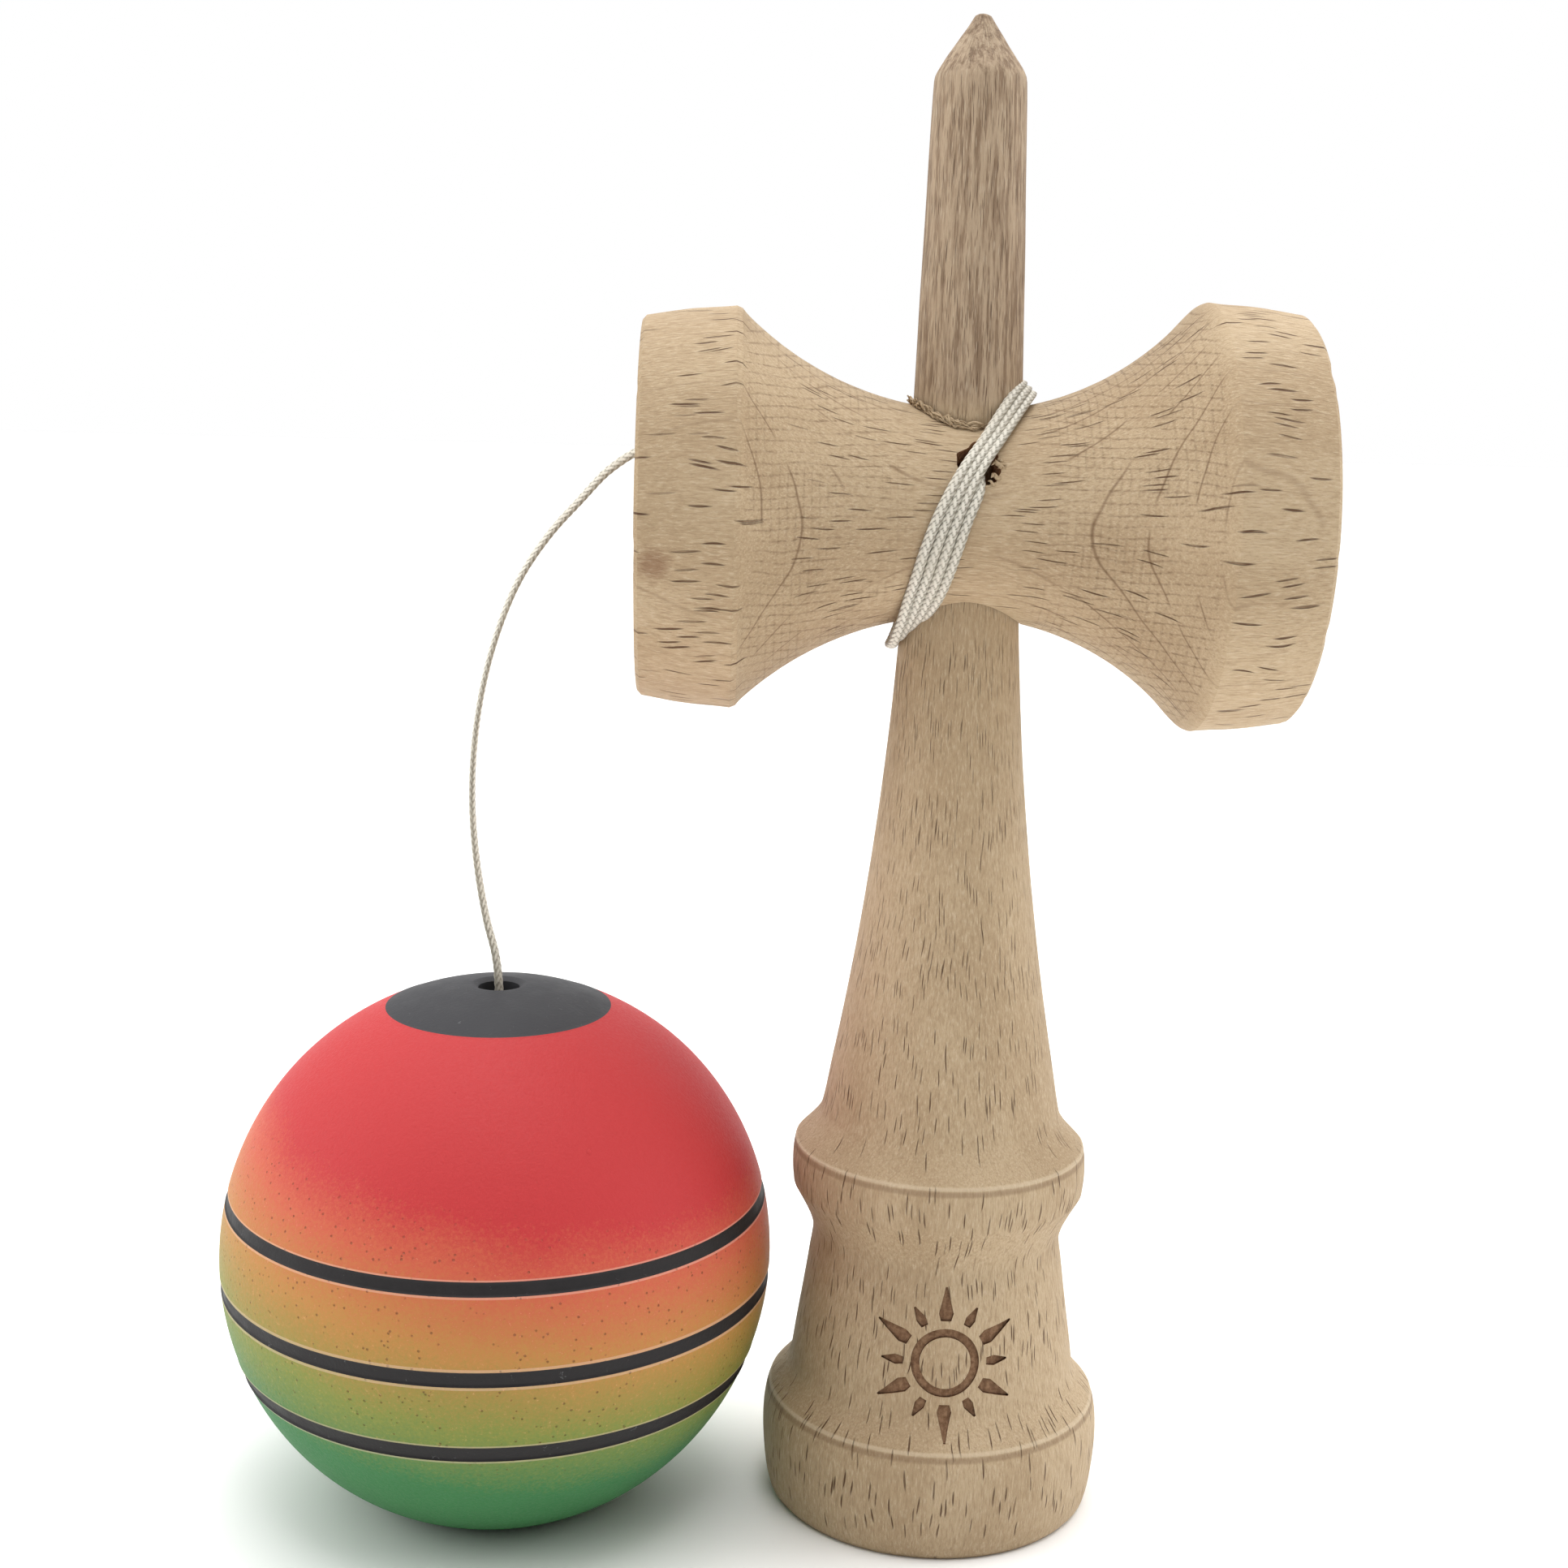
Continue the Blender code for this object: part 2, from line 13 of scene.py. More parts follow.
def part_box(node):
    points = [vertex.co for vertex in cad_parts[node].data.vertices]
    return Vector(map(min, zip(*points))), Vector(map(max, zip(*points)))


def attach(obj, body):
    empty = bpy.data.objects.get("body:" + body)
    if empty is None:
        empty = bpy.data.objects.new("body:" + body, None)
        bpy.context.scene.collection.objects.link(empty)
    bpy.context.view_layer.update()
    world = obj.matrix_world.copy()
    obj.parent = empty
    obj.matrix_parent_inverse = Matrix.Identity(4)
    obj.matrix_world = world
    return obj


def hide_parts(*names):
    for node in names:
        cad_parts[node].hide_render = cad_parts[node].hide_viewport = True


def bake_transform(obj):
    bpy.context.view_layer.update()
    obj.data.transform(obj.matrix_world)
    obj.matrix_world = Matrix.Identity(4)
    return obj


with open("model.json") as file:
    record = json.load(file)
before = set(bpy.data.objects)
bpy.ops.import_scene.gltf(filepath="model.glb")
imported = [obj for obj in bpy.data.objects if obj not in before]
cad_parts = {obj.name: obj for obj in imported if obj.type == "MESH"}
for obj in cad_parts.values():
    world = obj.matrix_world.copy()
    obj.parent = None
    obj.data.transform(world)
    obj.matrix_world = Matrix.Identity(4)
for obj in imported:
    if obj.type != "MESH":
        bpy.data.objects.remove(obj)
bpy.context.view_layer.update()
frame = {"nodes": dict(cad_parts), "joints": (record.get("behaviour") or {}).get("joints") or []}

MM = 0.001
MERGE_DISTANCE = 2e-6

# ---- places, from the frame
KEN_LOW, KEN_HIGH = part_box("ken")
BARREL_LOW, BARREL_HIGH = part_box("sarado")
BALL_LOW, BALL_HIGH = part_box("tama")
KNOT_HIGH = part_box("knot_bead")[1]
SPIN = next(joint for joint in frame["joints"] if joint["name"] == "ball_spin")
KEN_X = (KEN_LOW.x + KEN_HIGH.x) / 2
BARREL_Z = (BARREL_LOW.z + BARREL_HIGH.z) / 2
BALL_RADIUS = (BALL_HIGH.x - BALL_LOW.x) / 2
BALL_AXIS = Vector((SPIN["pos_m"][0], SPIN["pos_m"][1], 0.0))
BALL_Z = SPIN["pos_m"][2]

# ---- camera
CAMERA_PLACE = Vector((KEN_X - 24.85 * MM, -233.46 * MM, 123.78 * MM))
CAMERA_YAW = 0.0293
CAMERA_PITCH = -0.1865
CAMERA_ROLL = 0.0252
CAMERA_LENS = 51.32

# ---- string
STRING_WIDTH = 1.14 * MM
STRING_THICKNESS = 0.76 * MM
STRING_STEP = 0.12 * MM
STRING_SIDES = 24
YARNS = 3  # yarns that lean each way round the braid
YARN_PITCH = 0.84 * MM  # between two crossings along the braid
YARN_RELIEF = 0.10 * MM
STRANDS = 4
STRAND_LIFT = 0.42 * MM
STRAND_LAYER = 0.62 * MM
STRAND_TILT = 22.0  # degrees that each strand leans on the one before
HOLE_ELEVATION = 31.0
HOLE_ALONG = 0.35 * MM
HOLE_LIFT = 0.15 * MM
FIRST_ALONG = 0.45 * MM
# the last strand's way round the waist: degrees from the front over the bottom, millimetres
# along the barrel from its middle, and millimetres to the next strand on its right
STRAND_WAY = (
    (-90, 6.1, 0.45),
    (-57, 2.1, 0.88),
    (-34, -0.5, 0.88),
    (-17, -2.5, 0.90),
    (1, -4.1, 1.08),
    (20, -5.2, 1.14),
    (56, -6.4, 0.98),
    (90, -7.5, 0.50),
    (180, -0.7, 0.60),
    (270, 6.1, 0.45),
)
FREE_RUN = (
    (11.4, 14.7, 108.8),
    (7.7, 16.9, 109.7),
    (3.6, 19.2, 110.9),
    (-1.9, 21.4, 112.5),
    (-6.8, 21.2, 113.8),
    (-11.6, 20.7, 113.9),
    (-15.6, 20.2, 111.6),
    (-19.2, 19.5, 107.8),
    (-22.5, 18.4, 104.0),
    (-25.7, 16.5, 98.9),
    (-28.2, 13.6, 91.9),
    (-29.5, 10.1, 84.5),
    (-29.7, 6.6, 77.0),
    (-28.9, 3.4, 70.3),
    (-27.6, 1.2, 64.2),
    (-26.5, 0.2, 60.4),
)


# ---------------------------------------------------------------- small tools
def smoothstep(value):
    value = np.clip(value, 0.0, 1.0)
    return value * value * (3.0 - 2.0 * value)


def linear(red, green, blue):
    """A display colour of 0 to 255 as the linear colour that shaders take."""
    shares = (channel / 255.0 for channel in (red, green, blue))
    return (*(s / 12.92 if s <= 0.04045 else ((s + 0.055) / 1.055) ** 2.4 for s in shares), 1.0)


def smooth_curve(points, spacing):
    """Evenly spaced rows on a centripetal curve through the given points."""
    points = np.asarray(points, float)
    ends = np.vstack([2 * points[0] - points[1], points, 2 * points[-1] - points[-2]])
    fine = []
    for before, start, end, after in zip(ends, ends[1:], ends[2:], ends[3:]):
        steps = [max(1e-9, np.linalg.norm(b - a) ** 0.5)
                 for a, b in ((before, start), (start, end), (end, after))]
        t0, t1, t2, t3 = np.concatenate([[0.0], np.cumsum(steps)])
        t = np.linspace(t1, t2, 24, endpoint=False)[:, None]
        a1 = (t1 - t) / (t1 - t0) * before + (t - t0) / (t1 - t0) * start
        a2 = (t2 - t) / (t2 - t1) * start + (t - t1) / (t2 - t1) * end
        a3 = (t3 - t) / (t3 - t2) * end + (t - t2) / (t3 - t2) * after
        b1 = (t2 - t) / (t2 - t0) * a1 + (t - t0) / (t2 - t0) * a2
        b2 = (t3 - t) / (t3 - t1) * a2 + (t - t1) / (t3 - t1) * a3
        fine.append((t2 - t) / (t2 - t1) * b1 + (t - t1) / (t2 - t1) * b2)
    return even_rows(np.vstack([*fine, points[-1:]]), spacing)


def even_rows(fine, spacing):
    walked = np.concatenate([[0.0], np.cumsum(np.linalg.norm(np.diff(fine, axis=0), axis=1))])
    count = max(2, round(walked[-1] / spacing))
    places = np.linspace(0.0, walked[-1], count + 1)
    return np.column_stack([np.interp(places, walked, column) for column in fine.T])


def unit_rows(rows):
    return rows / np.linalg.norm(rows, axis=1)[:, None]


def front_way(elevation):
    """The direction out of the barrel's front that rises by this many degrees."""
    angle = math.radians(elevation)
    return Vector((0.0, -math.cos(angle), math.sin(angle)))


def tube_ends(rows, sides):
    return [tuple(range(sides)), tuple(reversed(range((rows - 1) * sides, rows * sides)))]


def placed(name, data):
    """A new object of the scene round its mesh, light or camera."""
    obj = bpy.data.objects.new(name, data)
    bpy.context.scene.collection.objects.link(obj)
    return obj


def mesh_object(name, points, faces, smooth=True):
    mesh = bpy.data.meshes.new(name)
    mesh.from_pydata([tuple(point) for point in points], [], faces)
    if smooth:
        mesh.shade_smooth()
    return placed(name, mesh)


def grid_faces(rows, sides, closed_rows=False):
    """Quads of a tube of rings, its rings closed round, and its ends joined if asked."""
    faces = []
    for row in range(rows if closed_rows else rows - 1):
        low, high = row * sides, (row + 1) % rows * sides
        for side in range(sides):
            after = (side + 1) % sides
            faces.append((low + side, low + after, high + after, high + side))
    return faces


def apply_modifiers(obj):
    graph = bpy.context.evaluated_depsgraph_get()
    graph.update()
    mesh = bpy.data.meshes.new_from_object(obj.evaluated_get(graph))
    obj.modifiers.clear()
    obj.data = mesh
    return obj


def subtract(obj, cutter):
    """Cuts the cutter out of obj, whose new faces take the cutter's material, and removes it."""
    boolean = obj.modifiers.new("cut", "BOOLEAN")
    boolean.operation = "DIFFERENCE"
    boolean.solver = "EXACT"
    boolean.material_mode = "TRANSFER"
    boolean.object = cutter
    apply_modifiers(obj)
    bpy.data.objects.remove(cutter)
    return obj


def face_outward(obj, merge=False):
    shape = bmesh.new()
    shape.from_mesh(obj.data)
    if merge:
        bmesh.ops.remove_doubles(shape, verts=shape.verts, dist=MERGE_DISTANCE)
    bmesh.ops.recalc_face_normals(shape, faces=shape.faces)
    shape.to_mesh(obj.data)
    shape.free()


def sharpen(obj, angle):
    obj.data.shade_smooth()
    obj.data.set_sharp_from_angle(angle=math.radians(angle))


# ---------------------------------------------------------------- outlines from the frame
def back_outline(node, centre, axis):
    """A turned CAD node's outline, walked along its back meridian: rows of (radius, place)."""
    mesh = frame["nodes"][node].data
    other = 2 - axis
    near = {}
    for vertex in mesh.vertices:
        offset = vertex.co - centre
        if abs(offset[other]) < 4e-6 and offset.y > -1e-6:
            near[vertex.index] = (round(offset.y / 2e-6), round(vertex.co[axis] / 2e-6))
    links = {}
    for edge in mesh.edges:
        first, second = (near.get(index) for index in edge.vertices)
        if first and second and first != second:
            links.setdefault(first, set()).add(second)
            links.setdefault(second, set()).add(first)
    ends = sorted(key for key, others in links.items() if len(others) == 1)
    start = ends[-1] if ends else max(links)
    walked, here, last = [start], start, None
    while True:
        onward = [key for key in links[here] if key != last]
        if not onward or onward[0] == start:
            break
        last, here = here, min(onward, key=lambda key: math.dist(key, here))
        walked.append(here)
    return np.array(walked, float) * 2e-6


# the wood gets a painted highlight line at each of these heights and a painted shadow line just below it
KEN_CREASES = (40.5, 12.1)  # mm up the handle: the ring's edge and the base cup's shoulder


def turned_outline(node, centre, axis):
    """The CAD outline at an even fine step, smooth but for its crisp corners."""
    rows = back_outline(node, centre, axis)
    ways = unit_rows(np.diff(rows, axis=0))
    bends = np.degrees(np.arccos(np.clip((ways[1:] * ways[:-1]).sum(axis=1), -1.0, 1.0)))
    corners = [0, *(np.flatnonzero(bends > CRISP_BEND) + 1), len(rows) - 1]
    parts = []
    for start, end in zip(corners, corners[1:]):
        part = rows[start : end + 1]
        fine = smooth_curve(part, OUTLINE_STEP) if len(part) > 2 else even_rows(part, OUTLINE_STEP)
        parts.append(fine[:-1])
    return np.vstack([*parts, rows[-1:]])


def turned(name, outline, steps, placing, closed=False):
    """A solid of revolution from rows of (radius, place on the axis)."""
    angles = np.arange(steps) * math.tau / steps
    radius, height = outline[:, 0:1], outline[:, 1:2]
    points = np.stack(
        [radius * np.cos(angles), radius * np.sin(angles), np.broadcast_to(height, (len(outline), steps))],
        axis=-1,
    ).reshape(-1, 3)
    obj = mesh_object(name, points, grid_faces(len(outline), steps, closed))
    obj.data.transform(placing)
    face_outward(obj, merge=True)
    return obj


def displace(obj, offset, node):
    """Moves each vertex along its normal by offset(place), but not out of the CAD node's box."""
    low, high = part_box(node)
    mesh = obj.data
    normals = [vertex.normal.copy() for vertex in mesh.vertices]
    for vertex, normal in zip(mesh.vertices, normals):
        moved = vertex.co + normal * offset(vertex.co)
        vertex.co = [min(max(value, least), most) for value, least, most in zip(moved, low, high)]
    mesh.update()


# ---------------------------------------------------------------- camera, lights and floor
def make_camera():
    data = bpy.data.cameras.new("camera")
    data.lens = CAMERA_LENS
    camera = placed("camera", data)
    level = math.cos(CAMERA_PITCH)
    ahead = Vector((math.sin(CAMERA_YAW) * level, math.cos(CAMERA_YAW) * level, math.sin(CAMERA_PITCH)))
    right = Vector((math.cos(CAMERA_YAW), -math.sin(CAMERA_YAW), 0.0))
    up = right.cross(ahead)
    turn = Matrix.Rotation(CAMERA_ROLL, 3, -ahead)
    axes = (turn @ right, turn @ up, -ahead)
    camera.matrix_world = Matrix.Translation(CAMERA_PLACE) @ Matrix(axes).transposed().to_4x4()
    bpy.context.scene.camera = camera


def area_light(name, place, target, size, power):
    data = bpy.data.lights.new(name, "AREA")
    data.shape = "SQUARE"
    data.size = size
    data.energy = power
    light = placed(name, data)
    light.location = place
    light.rotation_euler = (Vector(target) - Vector(place)).to_track_quat("-Z", "Y").to_euler()


WORLD_BACK = 1.0
WORLD_FRONT = 0.05
WORLD_TOP = 0.95
SIDE_POWER = 2.4
KEY_POWER = 0.8
TOP_POWER = 6.0


def make_light():
    world = bpy.data.worlds.new("studio")
    bpy.context.scene.world = world
    world.use_nodes = True
    tree = world.node_tree
    background = tree.nodes["Background"]
    background.inputs["Color"].default_value = (1.0, 1.0, 1.0, 1.0)
    toward = tree.nodes.new("ShaderNodeTexCoord")
    parts = tree.nodes.new("ShaderNodeSeparateXYZ")
    tree.links.new(toward.outputs["Generated"], parts.inputs[0])
    shares = []
    fades = ((1, -0.35, 0.15, WORLD_FRONT, WORLD_BACK), (2, 0.3, 0.95, 0.0, WORLD_TOP))
    for output, start, end, low, high in fades:
        share = tree.nodes.new("ShaderNodeMapRange")
        share.interpolation_type = "SMOOTHSTEP"
        for key, value in (("From Min", start), ("From Max", end), ("To Min", low), ("To Max", high)):
            share.inputs[key].default_value = value
        tree.links.new(parts.outputs[output], share.inputs["Value"])
        shares.append(share.outputs[0])
    total = tree.nodes.new("ShaderNodeMath")
    tree.links.new(shares[0], total.inputs[0])
    tree.links.new(shares[1], total.inputs[1])
    tree.links.new(total.outputs[0], background.inputs["Strength"])
    middle = (0.0, 0.0, 0.07)
    area_light("left", (-0.85, -0.10, 0.40), middle, 0.6, SIDE_POWER)
    area_light("right", (0.85, 0.05, 0.40), middle, 0.6, SIDE_POWER)
    area_light("key", (0.15, -0.50, 1.05), middle, 0.35, KEY_POWER)
    area_light("top", (0.05, -0.05, 1.15), middle, 0.8, TOP_POWER)


FLOOR_HALF = 3.0


def make_floor():
    corners = [(x * FLOOR_HALF, y * FLOOR_HALF, 0.0) for x, y in ((-1, -1), (1, -1), (1, 1), (-1, 1))]
    floor = mesh_object("floor", corners, [(0, 1, 2, 3)], smooth=False)
    paint = Paint("pale_floor")
    speck = paint.noise(paint.millimetres(), 0.05, detail=3.0)
    paint.colour(paint.blend(speck, linear(250, 250, 249), linear(253, 253, 252)))
    paint.finish(roughness=0.85)
    floor.data.materials.append(paint.material)


# ---------------------------------------------------------------- materials
class Paint:
    """A material built from nodes; each value is a number, a colour or another node's output."""

    def __init__(self, name):
        self.material = bpy.data.materials.new(name)
        self.material.use_nodes = True
        self.tree = self.material.node_tree
        self.shader = self.tree.nodes["Principled BSDF"]
        self.heights = []

    def set(self, socket, value):
        if isinstance(value, bpy.types.NodeSocket):
            self.tree.links.new(value, socket)
        else:
            socket.default_value = value

    def node(self, kind, inputs, output=0, **settings):
        made = self.tree.nodes.new("ShaderNode" + kind)
        for key, value in settings.items():
            setattr(made, key, value)
        for key, value in inputs.items():
            self.set(made.inputs[key], value)
        return made.outputs[output]

    def math(self, operation, first, second=0.0):
        return self.node("Math", {0: first, 1: second}, operation=operation)

    def times(self, first, second):
        return self.math("MULTIPLY", first, second)

    def plus(self, first, second):
        return self.math("ADD", first, second)

    def minus(self, first, second):
        return self.math("SUBTRACT", first, second)

    def size(self, value):
        return self.math("ABSOLUTE", value)

    def vector(self, operation, first, second):
        return self.node("VectorMath", {0: first, 1: second}, operation=operation)

    def millimetres(self):
        place = self.node("TexCoord", {}, output="Object")
        return self.vector("MULTIPLY", place, (1000.0, 1000.0, 1000.0))

    def split(self, vector):
        self.node("SeparateXYZ", {"Vector": vector})
        return self.tree.nodes[-1].outputs[0:3]

    def join(self, x, y, z):
        return self.node("CombineXYZ", {"X": x, "Y": y, "Z": z})

    def noise(self, vector, scale, detail=2.0, roughness=0.5, distortion=0.0):
        inputs = {"Vector": vector, "Scale": scale, "Detail": detail,
                  "Roughness": roughness, "Distortion": distortion}
        return self.node("TexNoise", inputs)

    def cells(self, vector, output="Distance", dimensions="3D"):
        inputs = {"Vector": vector, "Scale": 1.0}
        return self.node("TexVoronoi", inputs, output=output, voronoi_dimensions=dimensions)

    def span(self, value, low, high, to_low=0.0, to_high=1.0):
        inputs = {"Value": value, "From Min": low, "From Max": high, "To Min": to_low, "To Max": to_high}
        return self.node("MapRange", inputs, interpolation_type="SMOOTHSTEP")

    def blend(self, share, first, second):
        made = self.tree.nodes.new("ShaderNodeMix")
        made.data_type = "RGBA"
        for index, value in ((0, share), (6, first), (7, second)):
            self.set(made.inputs[index], value)
        return made.outputs[2]

    def ramp(self, value, stops):
        made = self.tree.nodes.new("ShaderNodeValToRGB")
        points = made.color_ramp.elements
        while len(points) < len(stops):
            points.new(0.5)
        for point, (place, colour) in zip(points, stops):
            point.position = place
            point.color = colour
        self.set(made.inputs[0], value)
        return made.outputs[0]

    def colour(self, value):
        self.set(self.shader.inputs["Base Color"], value)

    def relief(self, height, depth):
        """Adds a height of 0 to 1 that stands this many metres out of the surface."""
        self.heights.append((height, depth))

    def finish(self, roughness=0.5, specular=0.5, **sockets):
        self.set(self.shader.inputs["Roughness"], roughness)
        self.shader.inputs["Specular IOR Level"].default_value = specular
        for name, value in sockets.items():
            self.shader.inputs[name.replace("_", " ")].default_value = value
        normal = None
        for height, depth in self.heights:
            inputs = {"Strength": 1.0, "Distance": depth, "Height": height}
            if normal:
                inputs["Normal"] = normal
            normal = self.node("Bump", inputs)
        if normal:
            self.tree.links.new(normal, self.shader.inputs["Normal"])
        return self.material


BEECH_LIGHT = linear(190, 167, 135)
BEECH_MIDDLE = linear(177, 153, 121)
BEECH_DARK = linear(150, 125, 96)
# the chip colour also paints the highlight line on crisp edges, and the line brown also paints the shadow
# line below them
BEECH_CHIP_AND_HIGHLIGHT = linear(212, 194, 166)
FLECK_BROWN = linear(98, 70, 48)
LINE_AND_SHADOW_BROWN = linear(122, 95, 69)
STAIN_BROWN = linear(120, 82, 56)


def beech(name, axis, girth, pore, flares=None, stain=None, spike_from=None, creases=()):
    """Raw turned beech: its grain runs along the axis of that number, and girth is its usual radius.

    pore is the room that one pore has across and along the grain, and how many are left out; flares
    is how far from the middle the hollow flares start and end; stain is a place; creases are heights of
    crisp edges, each given a painted highlight line with a painted shadow line below it. Millimetres all."""
    paint = Paint(name)
    place = paint.millimetres()
    x, y, z = paint.split(place)
    along, across, middle = (x, z, BARREL_Z) if axis == 0 else (z, x, KEN_X)
    side = paint.minus(across, middle / MM)
    turn = paint.math("ARCTAN2", side, paint.times(y, -1.0))
    drift = paint.noise(place, 0.11, detail=1.0)
    around = paint.plus(paint.times(turn, girth), paint.times(drift, 2.2))

    def stretched(thin, long):
        return paint.join(paint.times(side, thin), paint.times(y, thin),
                          paint.times(along, long))

    def dashes(wide, long, reach, keep, shift):
        cell = paint.join(paint.plus(paint.math("DIVIDE", around, wide), shift),
                          paint.math("DIVIDE", along, long), 0.0)
        distance = paint.cells(cell, dimensions="2D")
        tint = paint.cells(cell, output="Color", dimensions="2D")
        return paint.times(paint.span(distance, reach, reach * 0.45),
                          paint.span(tint, keep, keep + 0.08))

    def lines(value, spacing, thin, low, high):
        share = paint.math("FRACT", paint.math("DIVIDE", value, spacing))
        off = paint.size(paint.minus(share, 0.5))
        patch = paint.noise(place, 0.13, detail=1.0)
        return paint.times(paint.span(off, thin, 0.0), paint.span(patch, low, high))

    # broad tone, then streaks of fibre and the fuzz of the sanded surface
    tone = paint.noise(stretched(0.09, 0.03), 1.0, detail=2.0)
    fibre = paint.noise(stretched(3.0, 0.22), 1.0, detail=4.0, roughness=0.65)
    fuzz = paint.noise(stretched(5.5, 0.8), 1.0, detail=3.0, roughness=0.7)
    colour = paint.blend(paint.span(tone, 0.35, 0.65), BEECH_MIDDLE, BEECH_LIGHT)
    colour = paint.blend(paint.span(fibre, 0.45, 0.75, 0.0, 0.40), colour, BEECH_DARK)
    colour = paint.blend(paint.span(fuzz, 0.51, 0.68, 0.0, 0.42), colour, BEECH_CHIP_AND_HIGHLIGHT)
    colour = paint.blend(paint.span(fuzz, 0.49, 0.34, 0.0, 0.42), colour, BEECH_DARK)
    relief = paint.plus(paint.times(fibre, 0.5), fuzz)

    if flares:
        # where the lathe cut across the grain: lines of rays and of the tool, and nested ring arcs
        reach = paint.size(paint.minus(along, KEN_X / MM))
        start, end = flares
        on_flare = paint.times(paint.span(reach, start - 2.0, start + 4.0),
                              paint.span(reach, end, end - 1.0))
        wander = paint.noise(place, 0.10, detail=2.0)
        leaning = paint.plus(across, paint.times(wander, 1.8))
        ray = lines(leaning, 1.05, 0.16, 0.20, 0.42)
        tool = lines(paint.plus(along, paint.times(wander, 0.8)), 0.80, 0.22, 0.30, 0.60)
        wave = paint.plus(y, paint.times(tone, 1.6))
        arc = lines(wave, 2.7, 0.050, 0.40, 0.52)
        broken = paint.times(on_flare, paint.span(fibre, 0.38, 0.62, 0.25, 1.0))
        ray = paint.times(ray, broken)
        tool = paint.times(tool, broken)
        arc = paint.times(arc, paint.span(on_flare, 0.0, 1.0, 0.35, 1.0))
        colour = paint.blend(paint.times(ray, 0.45), colour, LINE_AND_SHADOW_BROWN)
        colour = paint.blend(paint.times(tool, 0.22), colour, LINE_AND_SHADOW_BROWN)
        colour = paint.blend(paint.times(arc, 0.75), colour, LINE_AND_SHADOW_BROWN)
        relief = paint.minus(relief, paint.times(paint.plus(ray, tool), 0.5))

    # short dark pores along the grain
    pores = paint.math("MAXIMUM", dashes(pore[0], pore[1], 0.125, pore[2], 0.0),
                       dashes(pore[0] * 1.5, pore[1] * 1.7, 0.095, pore[2] + 0.05, 0.37))
    worn = paint.noise(place, 0.35, detail=2.0)
    deep = paint.times(pores, paint.span(worn, 0.30, 0.60, 0.45, 1.0))
    colour = paint.blend(deep, colour, FLECK_BROWN)
    relief = paint.minus(relief, paint.times(pores, 1.5))

    if spike_from is not None:
        # the spike is sanded less: darker, greyer and furrowed along its length
        rough = paint.span(z, spike_from - 2.0, spike_from + 2.0)
        furrow = paint.noise(stretched(1.7, 0.12), 1.0, detail=4.0, roughness=0.7)
        dark = paint.blend(paint.span(furrow, 0.40, 0.64), linear(178, 156, 131), linear(124, 100, 79))
        flake = dashes(0.60, 3.4, 0.20, 0.50, 0.71)
        dark = paint.blend(paint.times(flake, 0.55), dark, linear(204, 188, 166))
        dark = paint.blend(paint.math("MAXIMUM", pores, dashes(0.5, 3.6, 0.19, 0.50, 0.53)), dark,
                           linear(96, 70, 52))
        colour = paint.blend(paint.times(rough, 0.85), colour, dark)
        relief = paint.minus(relief, paint.times(paint.times(furrow, rough), 2.0))
    for crease in creases:
        # painted highlight and painted shadow: a light line along each crisp edge, and a darker line just
        # below it
        below = paint.minus(z, crease)
        painted_highlight_line = paint.span(paint.size(below), 0.28, 0.08, 0.0, 0.55)
        painted_shadow_line = paint.span(paint.size(paint.plus(below, 0.55)), 0.45, 0.10, 0.0, 0.45)
        colour = paint.blend(painted_shadow_line, colour, LINE_AND_SHADOW_BROWN)
        colour = paint.blend(painted_highlight_line, colour, BEECH_CHIP_AND_HIGHLIGHT)
    if stain:
        far = paint.node("VectorMath", {0: place, 1: stain}, output="Value", operation="DISTANCE")
        far = paint.plus(far, paint.times(fuzz, 1.5))
        colour = paint.blend(paint.span(far, 3.0, 1.2, 0.0, 0.55), colour, STAIN_BROWN)
    paint.colour(colour)
    paint.relief(relief, 0.13 * MM)
    return paint.finish(roughness=paint.span(fibre, 0.3, 0.7, 0.58, 0.76), specular=0.28)


def scorched(name):
    """Wood that a drill or a laser has burnt brown."""
    paint = Paint(name)
    place = paint.millimetres()
    soot = paint.noise(place, 1.6, detail=4.0, roughness=0.7)
    x, y, z = paint.split(place)
    streak = paint.noise(paint.join(paint.times(x, 3.0), y, paint.times(z, 0.4)), 1.0,
                         detail=3.0)
    colour = paint.blend(paint.span(soot, 0.3, 0.7), linear(112, 82, 60), linear(154, 121, 93))
    colour = paint.blend(paint.span(streak, 0.5, 0.8, 0.0, 0.6), colour, linear(92, 66, 48))
    paint.colour(colour)
    paint.relief(soot, 0.12 * MM)
    return paint.finish(roughness=0.8, specular=0.15)


def charred(name):
    """The inside of the torn string hole, browned by the drill."""
    paint = Paint(name)
    soot = paint.noise(paint.millimetres(), 1.1, detail=4.0, roughness=0.7)
    paint.colour(paint.blend(paint.span(soot, 0.35, 0.65), linear(138, 96, 70), linear(190, 145, 108)))
    paint.relief(soot, 0.25 * MM)
    return paint.finish(roughness=0.85, specular=0.1)


# the ball's five sprayed colours, from its bottom to its top along a leaning line
SPRAY_GREEN = linear(60, 120, 70)
SPRAY_OLIVE = linear(130, 138, 65)
SPRAY_OCHRE = linear(185, 132, 70)
SPRAY_ORANGE = linear(198, 95, 70)
SPRAY_RED = linear(188, 56, 58)
SPRAY = (
    (0.28, SPRAY_GREEN),
    (0.42, SPRAY_OLIVE),
    (0.56, SPRAY_OCHRE),
    (0.69, SPRAY_ORANGE),
    (0.77, SPRAY_RED),
)
SPRAY_LEAN = Vector((0.15, -0.1, 1.0))  # the sprayer stood a little to one side


